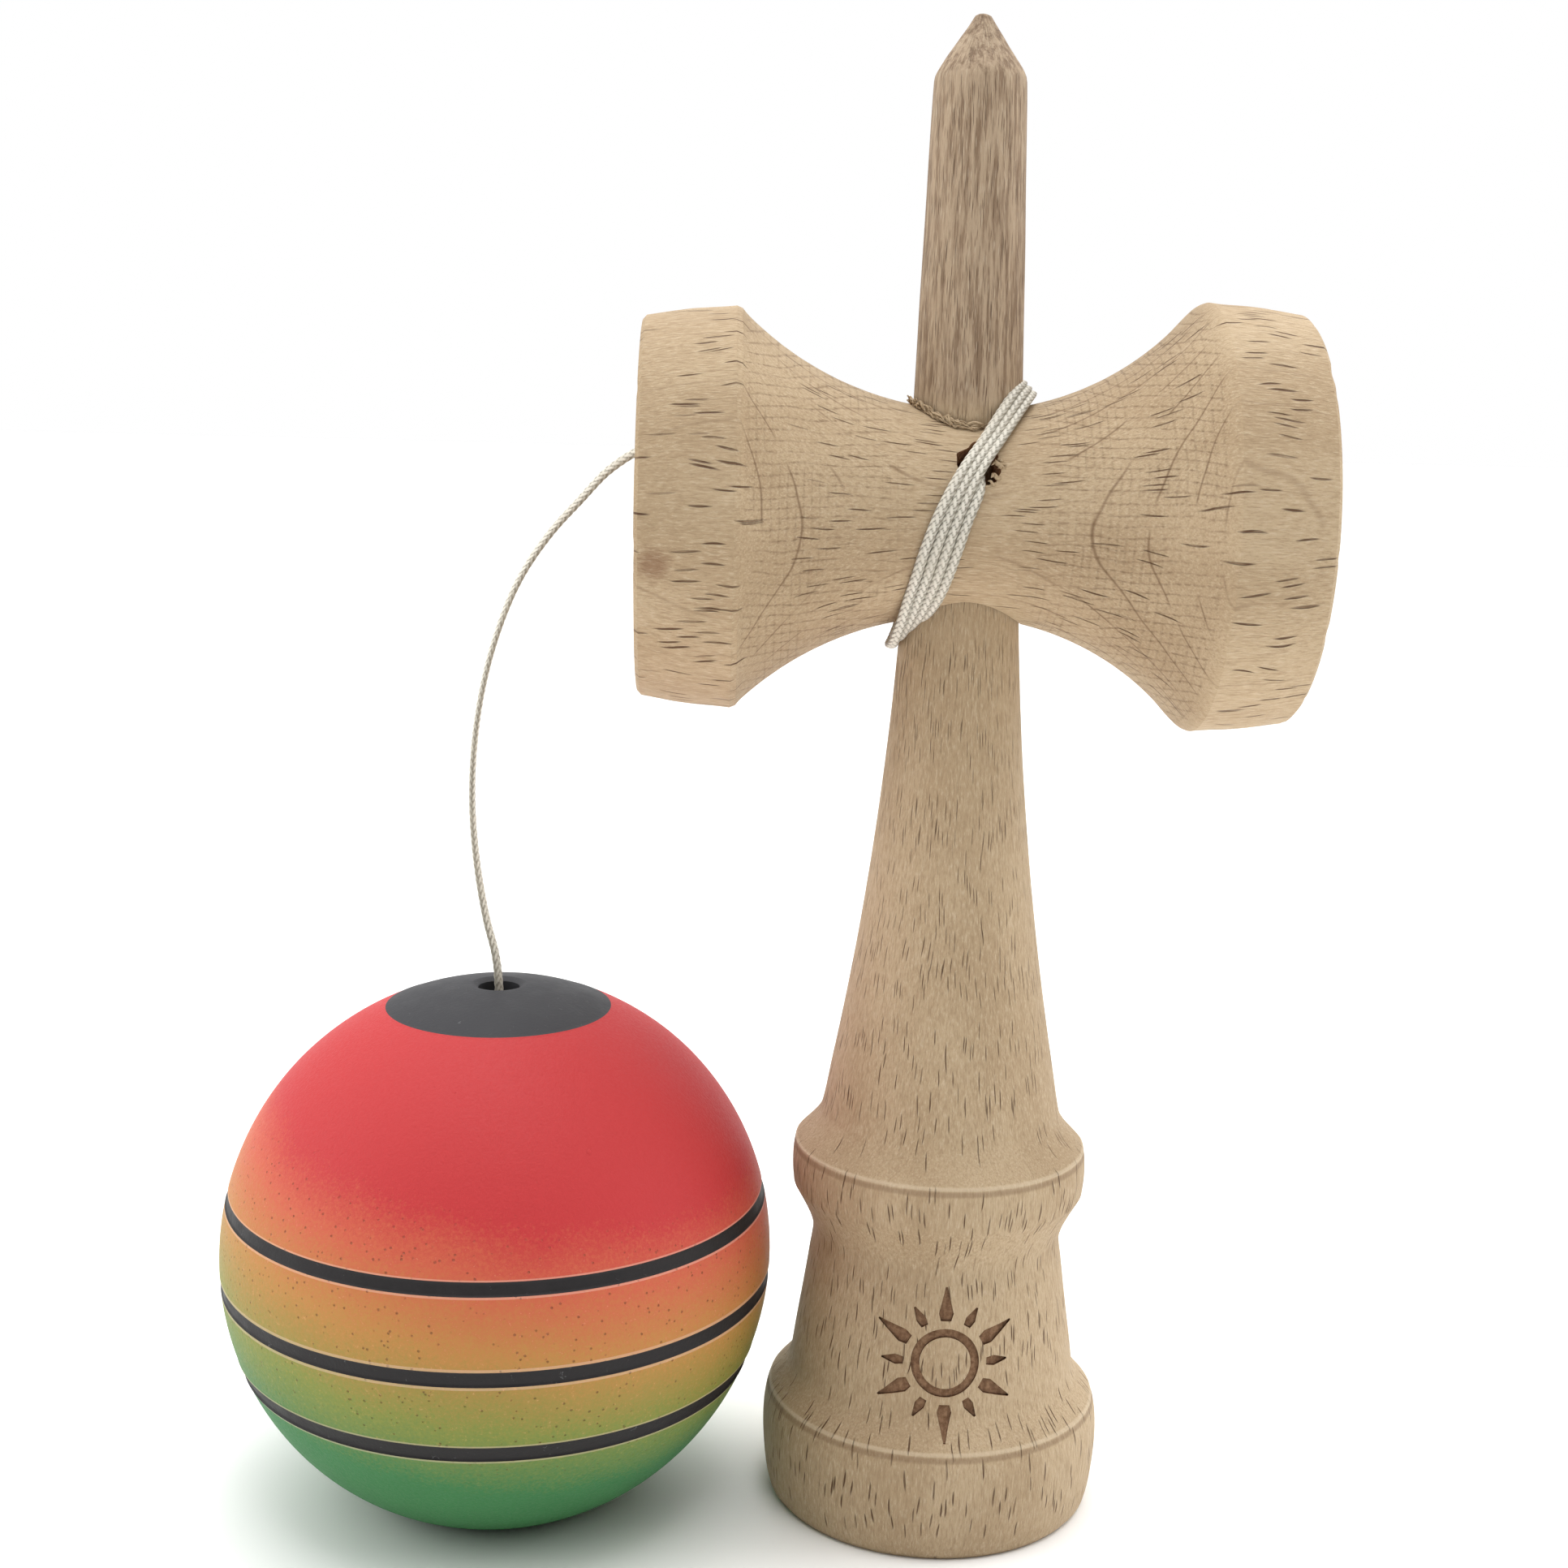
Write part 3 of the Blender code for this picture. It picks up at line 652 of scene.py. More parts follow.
def rubber_spray(name, lightened=0.0):
    """Matte rubber paint, sprayed from red through orange, ochre and olive to green."""
    paint = Paint(name)
    centre = (BALL_AXIS.x / MM, 0.0, BALL_Z / MM)
    place = paint.vector("SUBTRACT", paint.millimetres(), centre)
    lean = paint.node("VectorMath", {0: place, 1: tuple(SPRAY_LEAN * MM / BALL_RADIUS)},
                      output="Value", operation="DOT_PRODUCT")
    cloud = paint.noise(place, 0.10, detail=2.0)
    speck = paint.noise(place, 2.6, detail=3.0, roughness=0.75)
    level = paint.plus(lean, paint.times(paint.minus(cloud, 0.5), 0.10))
    level = paint.plus(level, paint.times(paint.minus(speck, 0.5), 0.30))
    colour = paint.ramp(paint.node("MapRange", {"Value": level, "From Min": -1.0, "From Max": 1.0}), SPRAY)
    # overspray and fine pits, mostly where two colours meet
    small = paint.vector("MULTIPLY", place, (1.5, 1.5, 1.5))
    pit = paint.times(paint.span(paint.cells(small), 0.24, 0.10),
                     paint.span(paint.cells(small, output="Color"), 0.50, 0.60))
    band = paint.times(paint.span(lean, -0.50, -0.15), paint.span(lean, 0.62, 0.35))
    pit = paint.times(pit, paint.plus(paint.times(band, 0.9), 0.06))
    colour = paint.blend(paint.times(pit, 0.55), colour, linear(104, 66, 44))
    dust = paint.span(speck, 0.60, 0.75)
    colour = paint.blend(paint.times(dust, paint.times(band, 0.30)), colour,
                         linear(228, 196, 140))
    colour = paint.blend(lightened, colour, linear(240, 205, 185))
    peel = paint.noise(place, 2.8, detail=3.0, roughness=0.7)
    paint.colour(colour)
    paint.relief(paint.minus(peel, paint.times(pit, 1.5)), 0.07 * MM)
    return paint.finish(roughness=paint.span(peel, 0.3, 0.7, 0.50, 0.64), specular=0.22)


def rubber_plain(name, colour, worn):
    """Plain dark rubber paint with faint rubbed marks."""
    paint = Paint(name)
    place = paint.millimetres()
    rub = paint.noise(place, 0.35, detail=4.0, roughness=0.7)
    mark = paint.noise(place, 1.3, detail=3.0, roughness=0.75, distortion=1.2)
    peel = paint.noise(place, 3.0, detail=2.0)
    tone = paint.blend(paint.span(rub, 0.35, 0.7, 0.0, 0.5), colour, worn)
    tone = paint.blend(paint.span(mark, 0.66, 0.72, 0.0, 0.5), tone, linear(104, 104, 106))
    paint.colour(tone)
    paint.relief(peel, 0.03 * MM)
    return paint.finish(roughness=paint.span(rub, 0.3, 0.7, 0.50, 0.64), specular=0.22)


def braid_cloth(name):
    """Off-white nylon braid, with painted shade that darkens it between its yarns and at the flat's edges.
    """
    paint = Paint(name)
    height = paint.node("Attribute", {}, output="Fac", attribute_name="relief")
    place = paint.millimetres()
    soil = paint.noise(place, 0.25, detail=3.0)
    thread = paint.noise(place, 9.0, detail=2.0, roughness=0.7)
    # painted shade: the relief attribute darkens the colour from the yarn tops into the valleys between
    # yarns and at the flat's edges
    colour = paint.blend(paint.span(height, 0.05, 0.75), linear(128, 120, 104), linear(226, 221, 208))
    colour = paint.blend(paint.span(soil, 0.45, 0.75, 0.0, 0.35), colour, linear(198, 190, 172))
    paint.colour(colour)
    paint.relief(thread, 0.03 * MM)
    return paint.finish(roughness=0.62, specular=0.4, Sheen_Weight=0.25, Sheen_Roughness=0.4)


def bead_plastic(name):
    """Dark moulded plastic."""
    paint = Paint(name)
    place = paint.millimetres()
    swirl = paint.noise(place, 0.5, detail=3.0, distortion=0.8)
    grain = paint.noise(place, 4.0, detail=2.0)
    paint.colour(paint.blend(swirl, linear(44, 44, 48), linear(66, 66, 70)))
    paint.relief(grain, 0.02 * MM)
    return paint.finish(roughness=paint.span(grain, 0.3, 0.7, 0.3, 0.42), specular=0.5)


# ---------------------------------------------------------------- string
def barrel_radius():
    """The barrel's outside radius, as a function of the distance from its middle."""
    outline = back_outline("sarado", Vector((KEN_X, 0.0, BARREL_Z)), 0)
    places, radii = outline[:, 1] - KEN_X, outline[:, 0]
    outer = [(place, radii[np.abs(places - place) < 0.2 * MM].max()) for place in places]
    outer.sort()
    table = np.array(outer)
    return lambda along: float(np.interp(along, table[:, 0], table[:, 1]))


def strand_way(swept):
    """The last strand's place along the barrel and the pitch to the next, smoothed a little."""
    angles, places, pitches = np.array(STRAND_WAY, float).T
    near = (swept + 90.0 + np.array([-12.0, -6.0, 0.0, 6.0, 12.0])) % 360.0 - 90.0
    return np.interp(near, angles, places).mean() * MM, np.interp(near, angles, pitches).mean() * MM


def strand_point(swept, radius_at):
    """The string's centre, the barrel's outward direction there, and how crowded it is."""
    turns = swept / 360.0
    angle = math.radians(swept)
    sine, cosine = math.sin(angle), math.cos(angle)
    crowd = smoothstep((abs(sine) - 0.75) / 0.25)
    last, pitch = strand_way(swept)
    along = last + pitch * (STRANDS - 1 - turns)
    along = FIRST_ALONG + (along - FIRST_ALONG) * smoothstep((swept + 24.0) / 26.0)
    from_hole = abs((swept + HOLE_ELEVATION - 6.0 + 180.0) % 360.0 - 180.0)
    over = smoothstep(1.0 - from_hole / 38.0) if turns > 0.5 else 0.0
    layer = STRAND_LAYER * crowd * round(turns)
    reach = radius_at(along) + STRAND_LIFT + layer + HOLE_LIFT * over
    out = Vector((0.0, -cosine, -sine))
    return Vector((KEN_X + along, 0.0, BARREL_Z)) + out * reach, out, crowd


def wound_route():
    """From the knot in the ken, out of the barrel's hole, round its waist to the back."""
    radius_at = barrel_radius()
    out = front_way(HOLE_ELEVATION)
    foot = Vector((KEN_X + HOLE_ALONG, 0.0, BARREL_Z))
    waist = radius_at(0.0)
    points = [foot + out * waist * share for share in (0.60, 0.75, 0.90)]
    outs, tilts = [out] * 3, [0.0] * 3
    lip_out = front_way(HOLE_ELEVATION - 15.0)
    points.append(foot + lip_out * (waist + STRAND_LIFT * 0.8))
    outs.append(lip_out)
    tilts.append(0.3)
    for swept in range(0, 360 * (STRANDS - 1) + 181, 15):
        point, out, crowd = strand_point(swept, radius_at)
        points.append(point)
        outs.append(out)
        tilts.append(1.0 - 0.6 * crowd)
    return points, outs, tilts


def braid(name, centres, normals, closed=False, width=STRING_WIDTH, thickness=STRING_THICKNESS):
    """A flat braid along the centres, its flat side facing the normals, with every yarn in relief and a
    relief attribute that also holds painted shade for the valleys between yarns and the flat's edges.
    """
    rows = len(centres)
    ahead = np.roll(centres, -1, axis=0) - np.roll(centres, 1, axis=0)
    if not closed:
        ahead[0], ahead[-1] = centres[1] - centres[0], centres[-1] - centres[-2]
    ahead = unit_rows(ahead)
    normals = normals - (normals * ahead).sum(axis=1)[:, None] * ahead
    normals = unit_rows(normals)
    flat = np.cross(ahead, normals)
    lengths = np.linalg.norm(np.diff(centres, axis=0), axis=1)
    walked = np.concatenate([[0.0], np.cumsum(lengths)])[:, None]
    angles = np.arange(STRING_SIDES) * math.tau / STRING_SIDES
    round_share = YARNS * angles[None, :] / math.tau * 2.0
    first, second = round_share + walked / YARN_PITCH, round_share - walked / YARN_PITCH
    cell = np.floor(first) + np.floor(second)
    part = np.mod(cell, 4)
    over_first = part < 2
    first_share, second_share = first - np.floor(first), second - np.floor(second)
    side = np.where(over_first, first_share, second_share)
    on = np.where(over_first, part + second_share, part - 2 + first_share) / 2
    relief = np.sin(math.pi * side) ** 0.7 * (0.35 + 0.65 * np.sin(math.pi * np.clip(on, 0.0, 1.0)) ** 0.5)
    wide = width / 2 - YARN_RELIEF * (1 - relief)
    thick = thickness / 2 - YARN_RELIEF * (1 - relief)
    across, up = np.cos(angles)[None, :] * wide, np.sin(angles)[None, :] * thick
    points = centres[:, None, :] + across[..., None] * flat[:, None, :]
    points = (points + up[..., None] * normals[:, None, :]).reshape(-1, 3)
    faces = [tuple(reversed(face)) for face in grid_faces(rows, STRING_SIDES, closed)]
    # painted shade: the flat's two edges, which lie in the shade of their neighbours, are darkened
    shade = 1.0 - 0.55 * smoothstep((np.abs(np.cos(angles)) - 0.45) / 0.55)
    values = (relief * shade[None, :]).ravel()
    if not closed:
        faces += tube_ends(rows, STRING_SIDES)
    obj = mesh_object(name, points, faces)
    face_outward(obj)
    # the relief attribute holds the yarns' height times the painted edge shade, and the material darkens
    # by it
    held = obj.data.attributes.new("relief", "FLOAT", "POINT")
    held.data.foreach_set("value", values.astype(np.float32))
    return obj


def carried_normals(centres, first, twist):
    """Directions carried along the line from the first one, turning by twist radians in all."""
    ahead = np.diff(centres, axis=0)
    ahead = unit_rows(np.vstack([ahead, ahead[-1:]]))
    carried = [np.asarray(first, float)]
    for tangent in ahead[1:]:
        moved = carried[-1] - tangent * (carried[-1] @ tangent)
        carried.append(moved / np.linalg.norm(moved))
    turns = np.linspace(0.0, twist, len(centres))[:, None]
    carried = np.array(carried)
    return carried * np.cos(turns) + np.cross(ahead, carried) * np.sin(turns)


def line_length(points):
    return float(np.linalg.norm(np.diff(points, axis=0), axis=1).sum())


def make_string(cloth):
    points, outs, tilts = wound_route()
    run = [Vector(point) * MM for point in FREE_RUN]
    turned_rows = [(*point, *out, tilt) for point, out, tilt in zip(points, outs, tilts)]
    # the turns and the free run are one line, cut behind the waist where it is straight
    run_out = outs[-1]
    free_rows = [(*point, *run_out, 0.0) for point in run]
    knot_top = KNOT_HIGH.z - 0.5 * MM
    for height in (BALL_HIGH.z - 0.5 * MM, BALL_HIGH.z - 8.0 * MM, knot_top):
        free_rows.append((BALL_AXIS.x, 0.0, height, *run_out, 0.0))
    rows = np.array(turned_rows + free_rows)
    fine = smooth_curve(rows[:, :3], STRING_STEP)
    cut = int(np.linalg.norm(fine - np.array(run[1]), axis=1).argmin())
    # each row's outward direction and tilt follow from the nearest route points
    stations = [int(np.linalg.norm(fine[start:] - row[:3], axis=1)[:LOOK_AHEAD].argmin()) + start
                for start, row in follow(rows, fine)]
    every = np.arange(len(fine))
    extra = np.column_stack([np.interp(every, stations, rows[:, column]) for column in range(3, 7)])
    wound, free = fine[: cut + 1], fine[cut:]
    normals = extra[: cut + 1, :3]
    ahead = unit_rows(np.gradient(wound, axis=0))
    lean = np.radians(STRAND_TILT) * extra[: cut + 1, 3][:, None]
    normals = normals * np.cos(lean) + np.cross(ahead, normals) * np.sin(lean)
    wound_piece = braid("string_wound", wound, normals)
    wound_piece.data.materials.append(cloth)
    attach(wound_piece, "handle")
    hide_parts("string_anchor", "string_turns")

    free_piece = braid("string_free", free, carried_normals(free, normals[-1], FREE_TWIST))
    free_piece.data.materials.append(cloth)
    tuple(run[5])
    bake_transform(free_piece)
    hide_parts("string_run", "string_tail")
    return wound_piece, wound, free_piece, free


def follow(rows, fine):
    """Each row with the place on the fine line to start looking for it from."""
    start = 0
    for row in rows:
        yield start, row
        reach = np.linalg.norm(fine[start:] - row[:3], axis=1)[:LOOK_AHEAD]
        start += int(reach.argmin())


FREE_TWIST = 3.4  # radians over the whole free run
LOOK_AHEAD = 1200  # rows of the fine line searched for the next route point


def make_knot(name, node, body, cloth):
    """An overhand knot pulled tight, as a closed loop."""
    low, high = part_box(node)
    centre = np.array((low + high) / 2)
    around = np.linspace(0.0, math.tau, 181)[:-1]
    size = ((high.x - low.x) / 2 - 0.5 * MM) / 3.0
    line = np.column_stack([
        np.sin(around) + 2 * np.sin(2 * around),
        np.cos(around) - 2 * np.cos(2 * around),
        -1.35 * np.sin(3 * around),
    ]) * size + centre
    out = line - centre
    knot = braid(name, line, out, closed=True, width=1.05 * MM, thickness=0.8 * MM)
    knot.data.materials.append(cloth)
    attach(knot, body)
    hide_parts(node)
    return knot


# ---------------------------------------------------------------- turned pieces
KEN_STEPS = 176
BARREL_STEPS = 224
BALL_STEPS = 240
OUTLINE_STEP = 0.5 * MM
CRISP_BEND = 22.0  # degrees between two stretches of an outline that stay apart
KEN_SHARP = 22
BARREL_SHARP = 24
ROUND_SHARP = 50


def make_ken(wood, burnt):
    outline = turned_outline("ken", Vector((KEN_X, 0.0, 0.0)), 2)
    placing = Matrix.Translation((KEN_X, 0.0, 0.0))
    ken = turned("ken_wood", outline, KEN_STEPS, placing)

    def waver(place):
        slow = noise.noise(Vector((place.x * 90, place.y * 90, place.z * 35)))
        furrow = noise.noise(Vector((place.x * 900, place.y * 900, place.z * 90)))
        rough = smoothstep((place.z - BARREL_HIGH.z + 0.006) / 0.006)
        return (0.035 * slow - 0.05 + (0.02 + 0.05 * rough) * furrow) * MM

    displace(ken, waver, "ken")
    ken.data.materials.append(wood)
    inner = turned("engraving_floor", outline - [[ENGRAVE_DEPTH, 0.0]], KEN_STEPS, placing)
    marks = emblem_prisms(burnt)
    subtract(marks, inner)
    subtract(ken, marks)
    sharpen(ken, KEN_SHARP)
    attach(ken, "handle")
    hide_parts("ken")
    return ken


ENGRAVE_DEPTH = 0.35 * MM
EMBLEM_Z = 21.0 * MM
EMBLEM_RAYS = 12
EMBLEM_RING = (2.7 * MM, 3.6 * MM)
EMBLEM_LONG = 8.0 * MM
EMBLEM_SHORT = 6.6 * MM


def emblem_prisms(burnt):
    """A plain sun, a ring with long and short rays, as prisms that reach into the ken's front."""
    outlines = []
    inner, outer = EMBLEM_RING
    for ray in range(EMBLEM_RAYS):
        middle = math.tau * ray / EMBLEM_RAYS
        tip = EMBLEM_LONG if ray % 2 == 0 else EMBLEM_SHORT
        half = 0.78 * MM if ray % 2 == 0 else 0.55 * MM
        ahead, side = (math.sin(middle), math.cos(middle)), (math.cos(middle), -math.sin(middle))
        corners = ((outer + 0.8 * MM, -half * 0.7), (outer + 1.6 * MM, -half), (tip, -0.10 * MM),
                   (tip, 0.10 * MM), (outer + 1.6 * MM, half), (outer + 0.8 * MM, half * 0.7))
        outlines.append([[(far * ahead[0] + off * side[0], far * ahead[1] + off * side[1])
                          for far, off in corners]])
    ring = []
    for radius in (outer, inner):
        ring.append([(radius * math.cos(math.tau * k / 48), radius * math.sin(math.tau * k / 48))
                     for k in range(48)])
    outlines.append(ring)
    shape = bmesh.new()
    front, back = KEN_LOW.y - 3.0 * MM, -6.0 * MM
    for loops in outlines:
        edges = []
        for loop in loops:
            corners = [shape.verts.new((KEN_X + x, front, EMBLEM_Z + z)) for x, z in loop]
            edges += [shape.edges.new(pair) for pair in zip(corners, corners[1:] + corners[:1])]
        filled = bmesh.ops.triangle_fill(shape, edges=edges, use_beauty=True)
        sheet = [item for item in filled["geom"] if isinstance(item, bmesh.types.BMFace)]
        grown = bmesh.ops.extrude_face_region(shape, geom=sheet, use_keep_orig=True)
        moved = [item for item in grown["geom"] if isinstance(item, bmesh.types.BMVert)]
        bmesh.ops.translate(shape, verts=moved, vec=(0.0, back - front, 0.0))
    bmesh.ops.recalc_face_normals(shape, faces=shape.faces)
    mesh = bpy.data.meshes.new("emblem")
    shape.to_mesh(mesh)
    shape.free()
    mesh.materials.append(burnt)
    return placed("emblem", mesh)


TAPER_GAP = 0.12 * MM


def taper_cutter(outline, wood):
    """The barrel's bore, a little wider than the ken's own taper."""
    order = np.argsort(outline[:, 1])
    reach = 14.0 * MM
    heights = np.linspace(BARREL_Z - reach, BARREL_Z + reach, 12)
    outer = outline[order]
    radii = np.interp(heights, outer[:, 1], outer[:, 0]) + TAPER_GAP
    rows = np.column_stack([radii, heights])
    rows = np.vstack([[0.0, heights[0]], rows, [0.0, heights[-1]]])
    cutter = turned("taper", rows, 96, Matrix.Translation((KEN_X, 0.0, 0.0)))
    cutter.data.materials.append(wood)
    return cutter


def torn_hole_cutter(char):
    """The string hole, drilled through one wall and torn open at the surface."""
    rows, sides = 9, 40
    points = []
    for row in range(rows):
        share = row / (rows - 1)
        out = (5.5 + 10.0 * share) * MM
        flare = smoothstep((out - 9.6 * MM) / (1.6 * MM))
        for side in range(sides):
            angle = math.tau * side / sides
            ragged = noise.noise(Vector((math.cos(angle) * 1.6, math.sin(angle) * 1.6, 4.0)))
            teeth = noise.noise(Vector((math.cos(angle) * 5.0, math.sin(angle) * 5.0, out * 300)))
            radius = (2.25 + 0.40 * ragged + (0.30 + 1.0 * max(0.0, ragged) + 0.55 * teeth) * flare) * MM
            points.append((radius * math.cos(angle), radius * 0.92 * math.sin(angle), out))
    faces = [tuple(reversed(face)) for face in grid_faces(rows, sides)]
    faces += tube_ends(rows, sides)
    cutter = mesh_object("hole", points, faces)
    face_outward(cutter)
    turn = front_way(HOLE_ELEVATION).to_track_quat("Z", "X").to_matrix().to_4x4()
    cutter.data.transform(Matrix.Translation((KEN_X + HOLE_ALONG, 0.0, BARREL_Z)) @ turn)
    cutter.data.materials.append(char)
    return cutter


def make_barrel(wood, bore, char):
    outline = turned_outline("sarado", Vector((KEN_X, 0.0, BARREL_Z)), 0)
    outline[:, 1] -= KEN_X
    placing = Matrix.Translation((KEN_X, 0.0, BARREL_Z)) @ Matrix.Rotation(math.pi / 2, 4, "Y")
    barrel = turned("sarado_wood", outline, BARREL_STEPS, placing)

    def waver(place):
        slow = noise.noise(Vector((place.x * 35, place.y * 90, place.z * 90)))
        end = max(place.x - BARREL_HIGH.x, BARREL_LOW.x - place.x) + 1.2 * MM
        nick = noise.noise(Vector((place.x * 60, place.y * 420, place.z * 420)))
        dent = smoothstep(end / (1.2 * MM)) * max(0.0, nick - 0.25)
        ripple = noise.noise(Vector((place.x * 1500, place.y * 20, place.z * 20)))
        return (0.04 * slow - 0.05 + 0.012 * ripple - 0.35 * dent) * MM

    displace(barrel, waver, "sarado")
    barrel.data.materials.append(wood)
    ken_outline = back_outline("ken", Vector((KEN_X, 0.0, 0.0)), 2)
    outside = ken_outline[ken_outline[:, 1] > 60 * MM]
    subtract(barrel, taper_cutter(outside, bore))
    subtract(barrel, torn_hole_cutter(char))
    sharpen(barrel, BARREL_SHARP)
    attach(barrel, "handle")
    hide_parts("sarado")
    return barrel


CAP_ANGLE = 23.8
LIP_HEIGHT = 0.05 * MM
LIP_WIDTH = 0.30  # degrees
STRIPE_SINK = 0.14 * MM
BALL_MOUTH = 11.6 * MM
HOLE_PAINTED = 2.9 * MM


def make_ball(spray, edge, stripe, cap, wood):
    outline = back_outline("tama", Vector((BALL_AXIS.x, 0.0, 0.0)), 2)
    offsets = outline - [[0.0, BALL_Z]]
    reach = np.linalg.norm(offsets, axis=1)
    polar = np.degrees(np.arctan2(offsets[:, 0], offsets[:, 1]))
    on_skin = reach > BALL_RADIUS - 0.3 * MM
    skin = sorted(zip(polar[on_skin], reach[on_skin]))
    sunk = [angle for angle, far in skin if far < BALL_RADIUS - 0.05 * MM]
    stripes = [(upper - 0.25, lower + 0.25) for upper, lower in zip(sunk[::2], sunk[1::2])]
    edges = [CAP_ANGLE] + [angle for pair in stripes for angle in pair]
    angles = np.unique(np.concatenate(
        [np.arange(skin[0][0], skin[-1][0], 0.6), [skin[-1][0]]]
        + [edge_angle + np.array([-0.6, -0.3, -0.12, 0.0, 0.12, 0.3, 0.6]) for edge_angle in edges]
    ))
    angles = angles[np.concatenate([[True], np.diff(angles) > 0.05])]
    sink = np.zeros_like(angles)
    for upper, lower in stripes:
        inside = np.minimum(angles - upper, lower - angles)
        sink = np.maximum(sink, smoothstep(inside / 0.25) * STRIPE_SINK)
        for place in (upper, lower):
            sink -= np.exp(-(((angles - place) / LIP_WIDTH) ** 2)) * LIP_HEIGHT
    sink -= np.exp(-(((angles - CAP_ANGLE) / LIP_WIDTH) ** 2)) * LIP_HEIGHT * 0.6
    skin_reach = BALL_RADIUS - 0.06 * MM - sink
    turn = np.radians(angles)
    rows = np.column_stack([skin_reach * np.sin(turn), BALL_Z + skin_reach * np.cos(turn)])
    inner = outline[~on_skin]
    first = int(np.argmin(np.linalg.norm(inner - rows[-1], axis=1)))
    inner = np.roll(inner, -first, axis=0)
    if np.linalg.norm(inner[1] - inner[0]) > np.linalg.norm(inner[-1] - inner[0]):
        inner = np.roll(inner[::-1], 1, axis=0)
    bore = [even_rows(np.array(pair), 1.5 * MM)[:-1] for pair in zip(inner, inner[1:])]
    rows = np.vstack([rows, *bore, inner[-1:]])
    ball = turned("tama_painted", rows, BALL_STEPS, Matrix.Translation(BALL_AXIS), closed=True)

    def bumps(place):
        way = (place - BALL_AXIS - Vector((0.0, 0.0, BALL_Z)))
        if way.length < BALL_RADIUS - 0.5 * MM:
            return 0.0
        slow = noise.noise(way * 120)
        return 0.02 * MM * (slow - 1.0)

    displace(ball, bumps, "tama")
    for finish in (spray, edge, stripe, cap, wood):
        ball.data.materials.append(finish)
    centre = BALL_AXIS + Vector((0.0, 0.0, BALL_Z))
    for face in ball.data.polygons:
        way = face.center - centre
        angle = math.degrees(math.acos(max(-1.0, min(1.0, way.z / way.length))))
        off_axis = math.hypot(way.x, way.y)
        if way.length < BALL_RADIUS - 1.2 * MM and off_axis < BALL_MOUTH:
            face.material_index = 3 if off_axis < HOLE_PAINTED and way.z > 0 else 4
        elif angle < CAP_ANGLE:
            face.material_index = 3
        elif any(upper < angle < lower for upper, lower in stripes):
            face.material_index = 2
        elif any(abs(angle - place) < 0.45 for place in edges[1:]):
            face.material_index = 1
        elif off_axis < BALL_MOUTH and way.z < 0 and angle > 150:
            face.material_index = 4
    sharpen(ball, ROUND_SHARP)
    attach(ball, "ball")
    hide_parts("tama")
    return ball


def make_pimples(spray):
    """Grains caught under the paint, each a low dome on the ball's skin."""
    shape = bmesh.new()
    centre = BALL_AXIS + Vector((0.0, 0.0, BALL_Z))
    for polar, turn, size in PIMPLES:
        down, side = math.radians(polar), math.radians(turn)
        way = Vector((math.sin(down) * math.sin(side), -math.sin(down) * math.cos(side), math.cos(down)))
        place = centre + way * (BALL_RADIUS - 0.085 * MM)
        tilt = way.to_track_quat("Z", "Y").to_matrix().to_4x4()
        flat = Matrix.Diagonal((1.0, 1.3, 0.32, 1.0))
        bmesh.ops.create_icosphere(shape, subdivisions=3, radius=size * MM,
                                   matrix=Matrix.Translation(place) @ tilt @ flat)
    mesh = bpy.data.meshes.new("paint_grains")
    shape.to_mesh(mesh)
    shape.free()
    mesh.shade_smooth()
    mesh.materials.append(spray)
    grains = placed("paint_grains", mesh)
    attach(grains, "ball")


# each grain's angle from the ball's top, its turn from the front to the right, and its radius
PIMPLES = ((52.0, 28.0, 0.24), (45.0, 17.0, 0.10), (38.0, -8.0, 0.12), (55.0, -35.0, 0.10),
           (57.0, -24.0, 0.09), (64.0, 20.0, 0.08), (49.0, 150.0, 0.16), (66.0, 205.0, 0.12))


def make_bead(plastic):
    low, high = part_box("bead")
    outline = back_outline("bead", Vector((BALL_AXIS.x, 0.0, 0.0)), 2)
    rows = np.vstack([outline, outline[:1]])
    rows = even_rows(rows, 0.25 * MM)[:-1]
    bead = turned("bead_moulded", rows, 72, Matrix.Translation(BALL_AXIS), closed=True)
    middle = (low.z + high.z) / 2
    widest = (high.x - low.x) / 2

    def seam(place):
        off_axis = (place - BALL_AXIS).xy.length
        on = math.exp(-(((place.z - middle) / (0.18 * MM)) ** 2))
        return (0.06 * on * (off_axis > widest * 0.8) - 0.07) * MM

    displace(bead, seam, "bead")
    bead.data.materials.append(plastic)
    sharpen(bead, ROUND_SHARP)
    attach(bead, "swivel")
    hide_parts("bead")
    return bead


def fibre_tube(points, radius, sides=5):
    """A thin tapering thread: its vertices and faces."""
    points = smooth_curve(points, 0.12 * MM)
    shares = np.linspace(0.0, 1.0, len(points))
    radii = radius * np.clip(np.minimum(1.0, 3.0 * (1.0 - shares) + 0.12), 0.1, 1.0)
    normals = carried_normals(points, np.array([0.31, 0.52, 0.79]), 0.0)
    ahead = unit_rows(np.gradient(points, axis=0))
    side = np.cross(ahead, normals)
    angles = np.arange(sides) * math.tau / sides
    ring = normals[:, None] * np.cos(angles)[None, :, None] + side[:, None] * np.sin(angles)[None, :, None]
    made = (points[:, None] + ring * radii[:, None, None]).reshape(-1, 3)
    faces = grid_faces(len(points), sides)
    faces += tube_ends(len(points), sides)
    return made, faces


def joined(name, parts):
    points, faces = [], []
    for made, quads in parts:
        start = sum(len(block) for block in points)
        points.append(made)
        faces += [tuple(index + start for index in face) for face in quads]
    obj = mesh_object(name, np.vstack(points), faces)
    face_outward(obj)
    return obj


TORN_FIBRES = 70


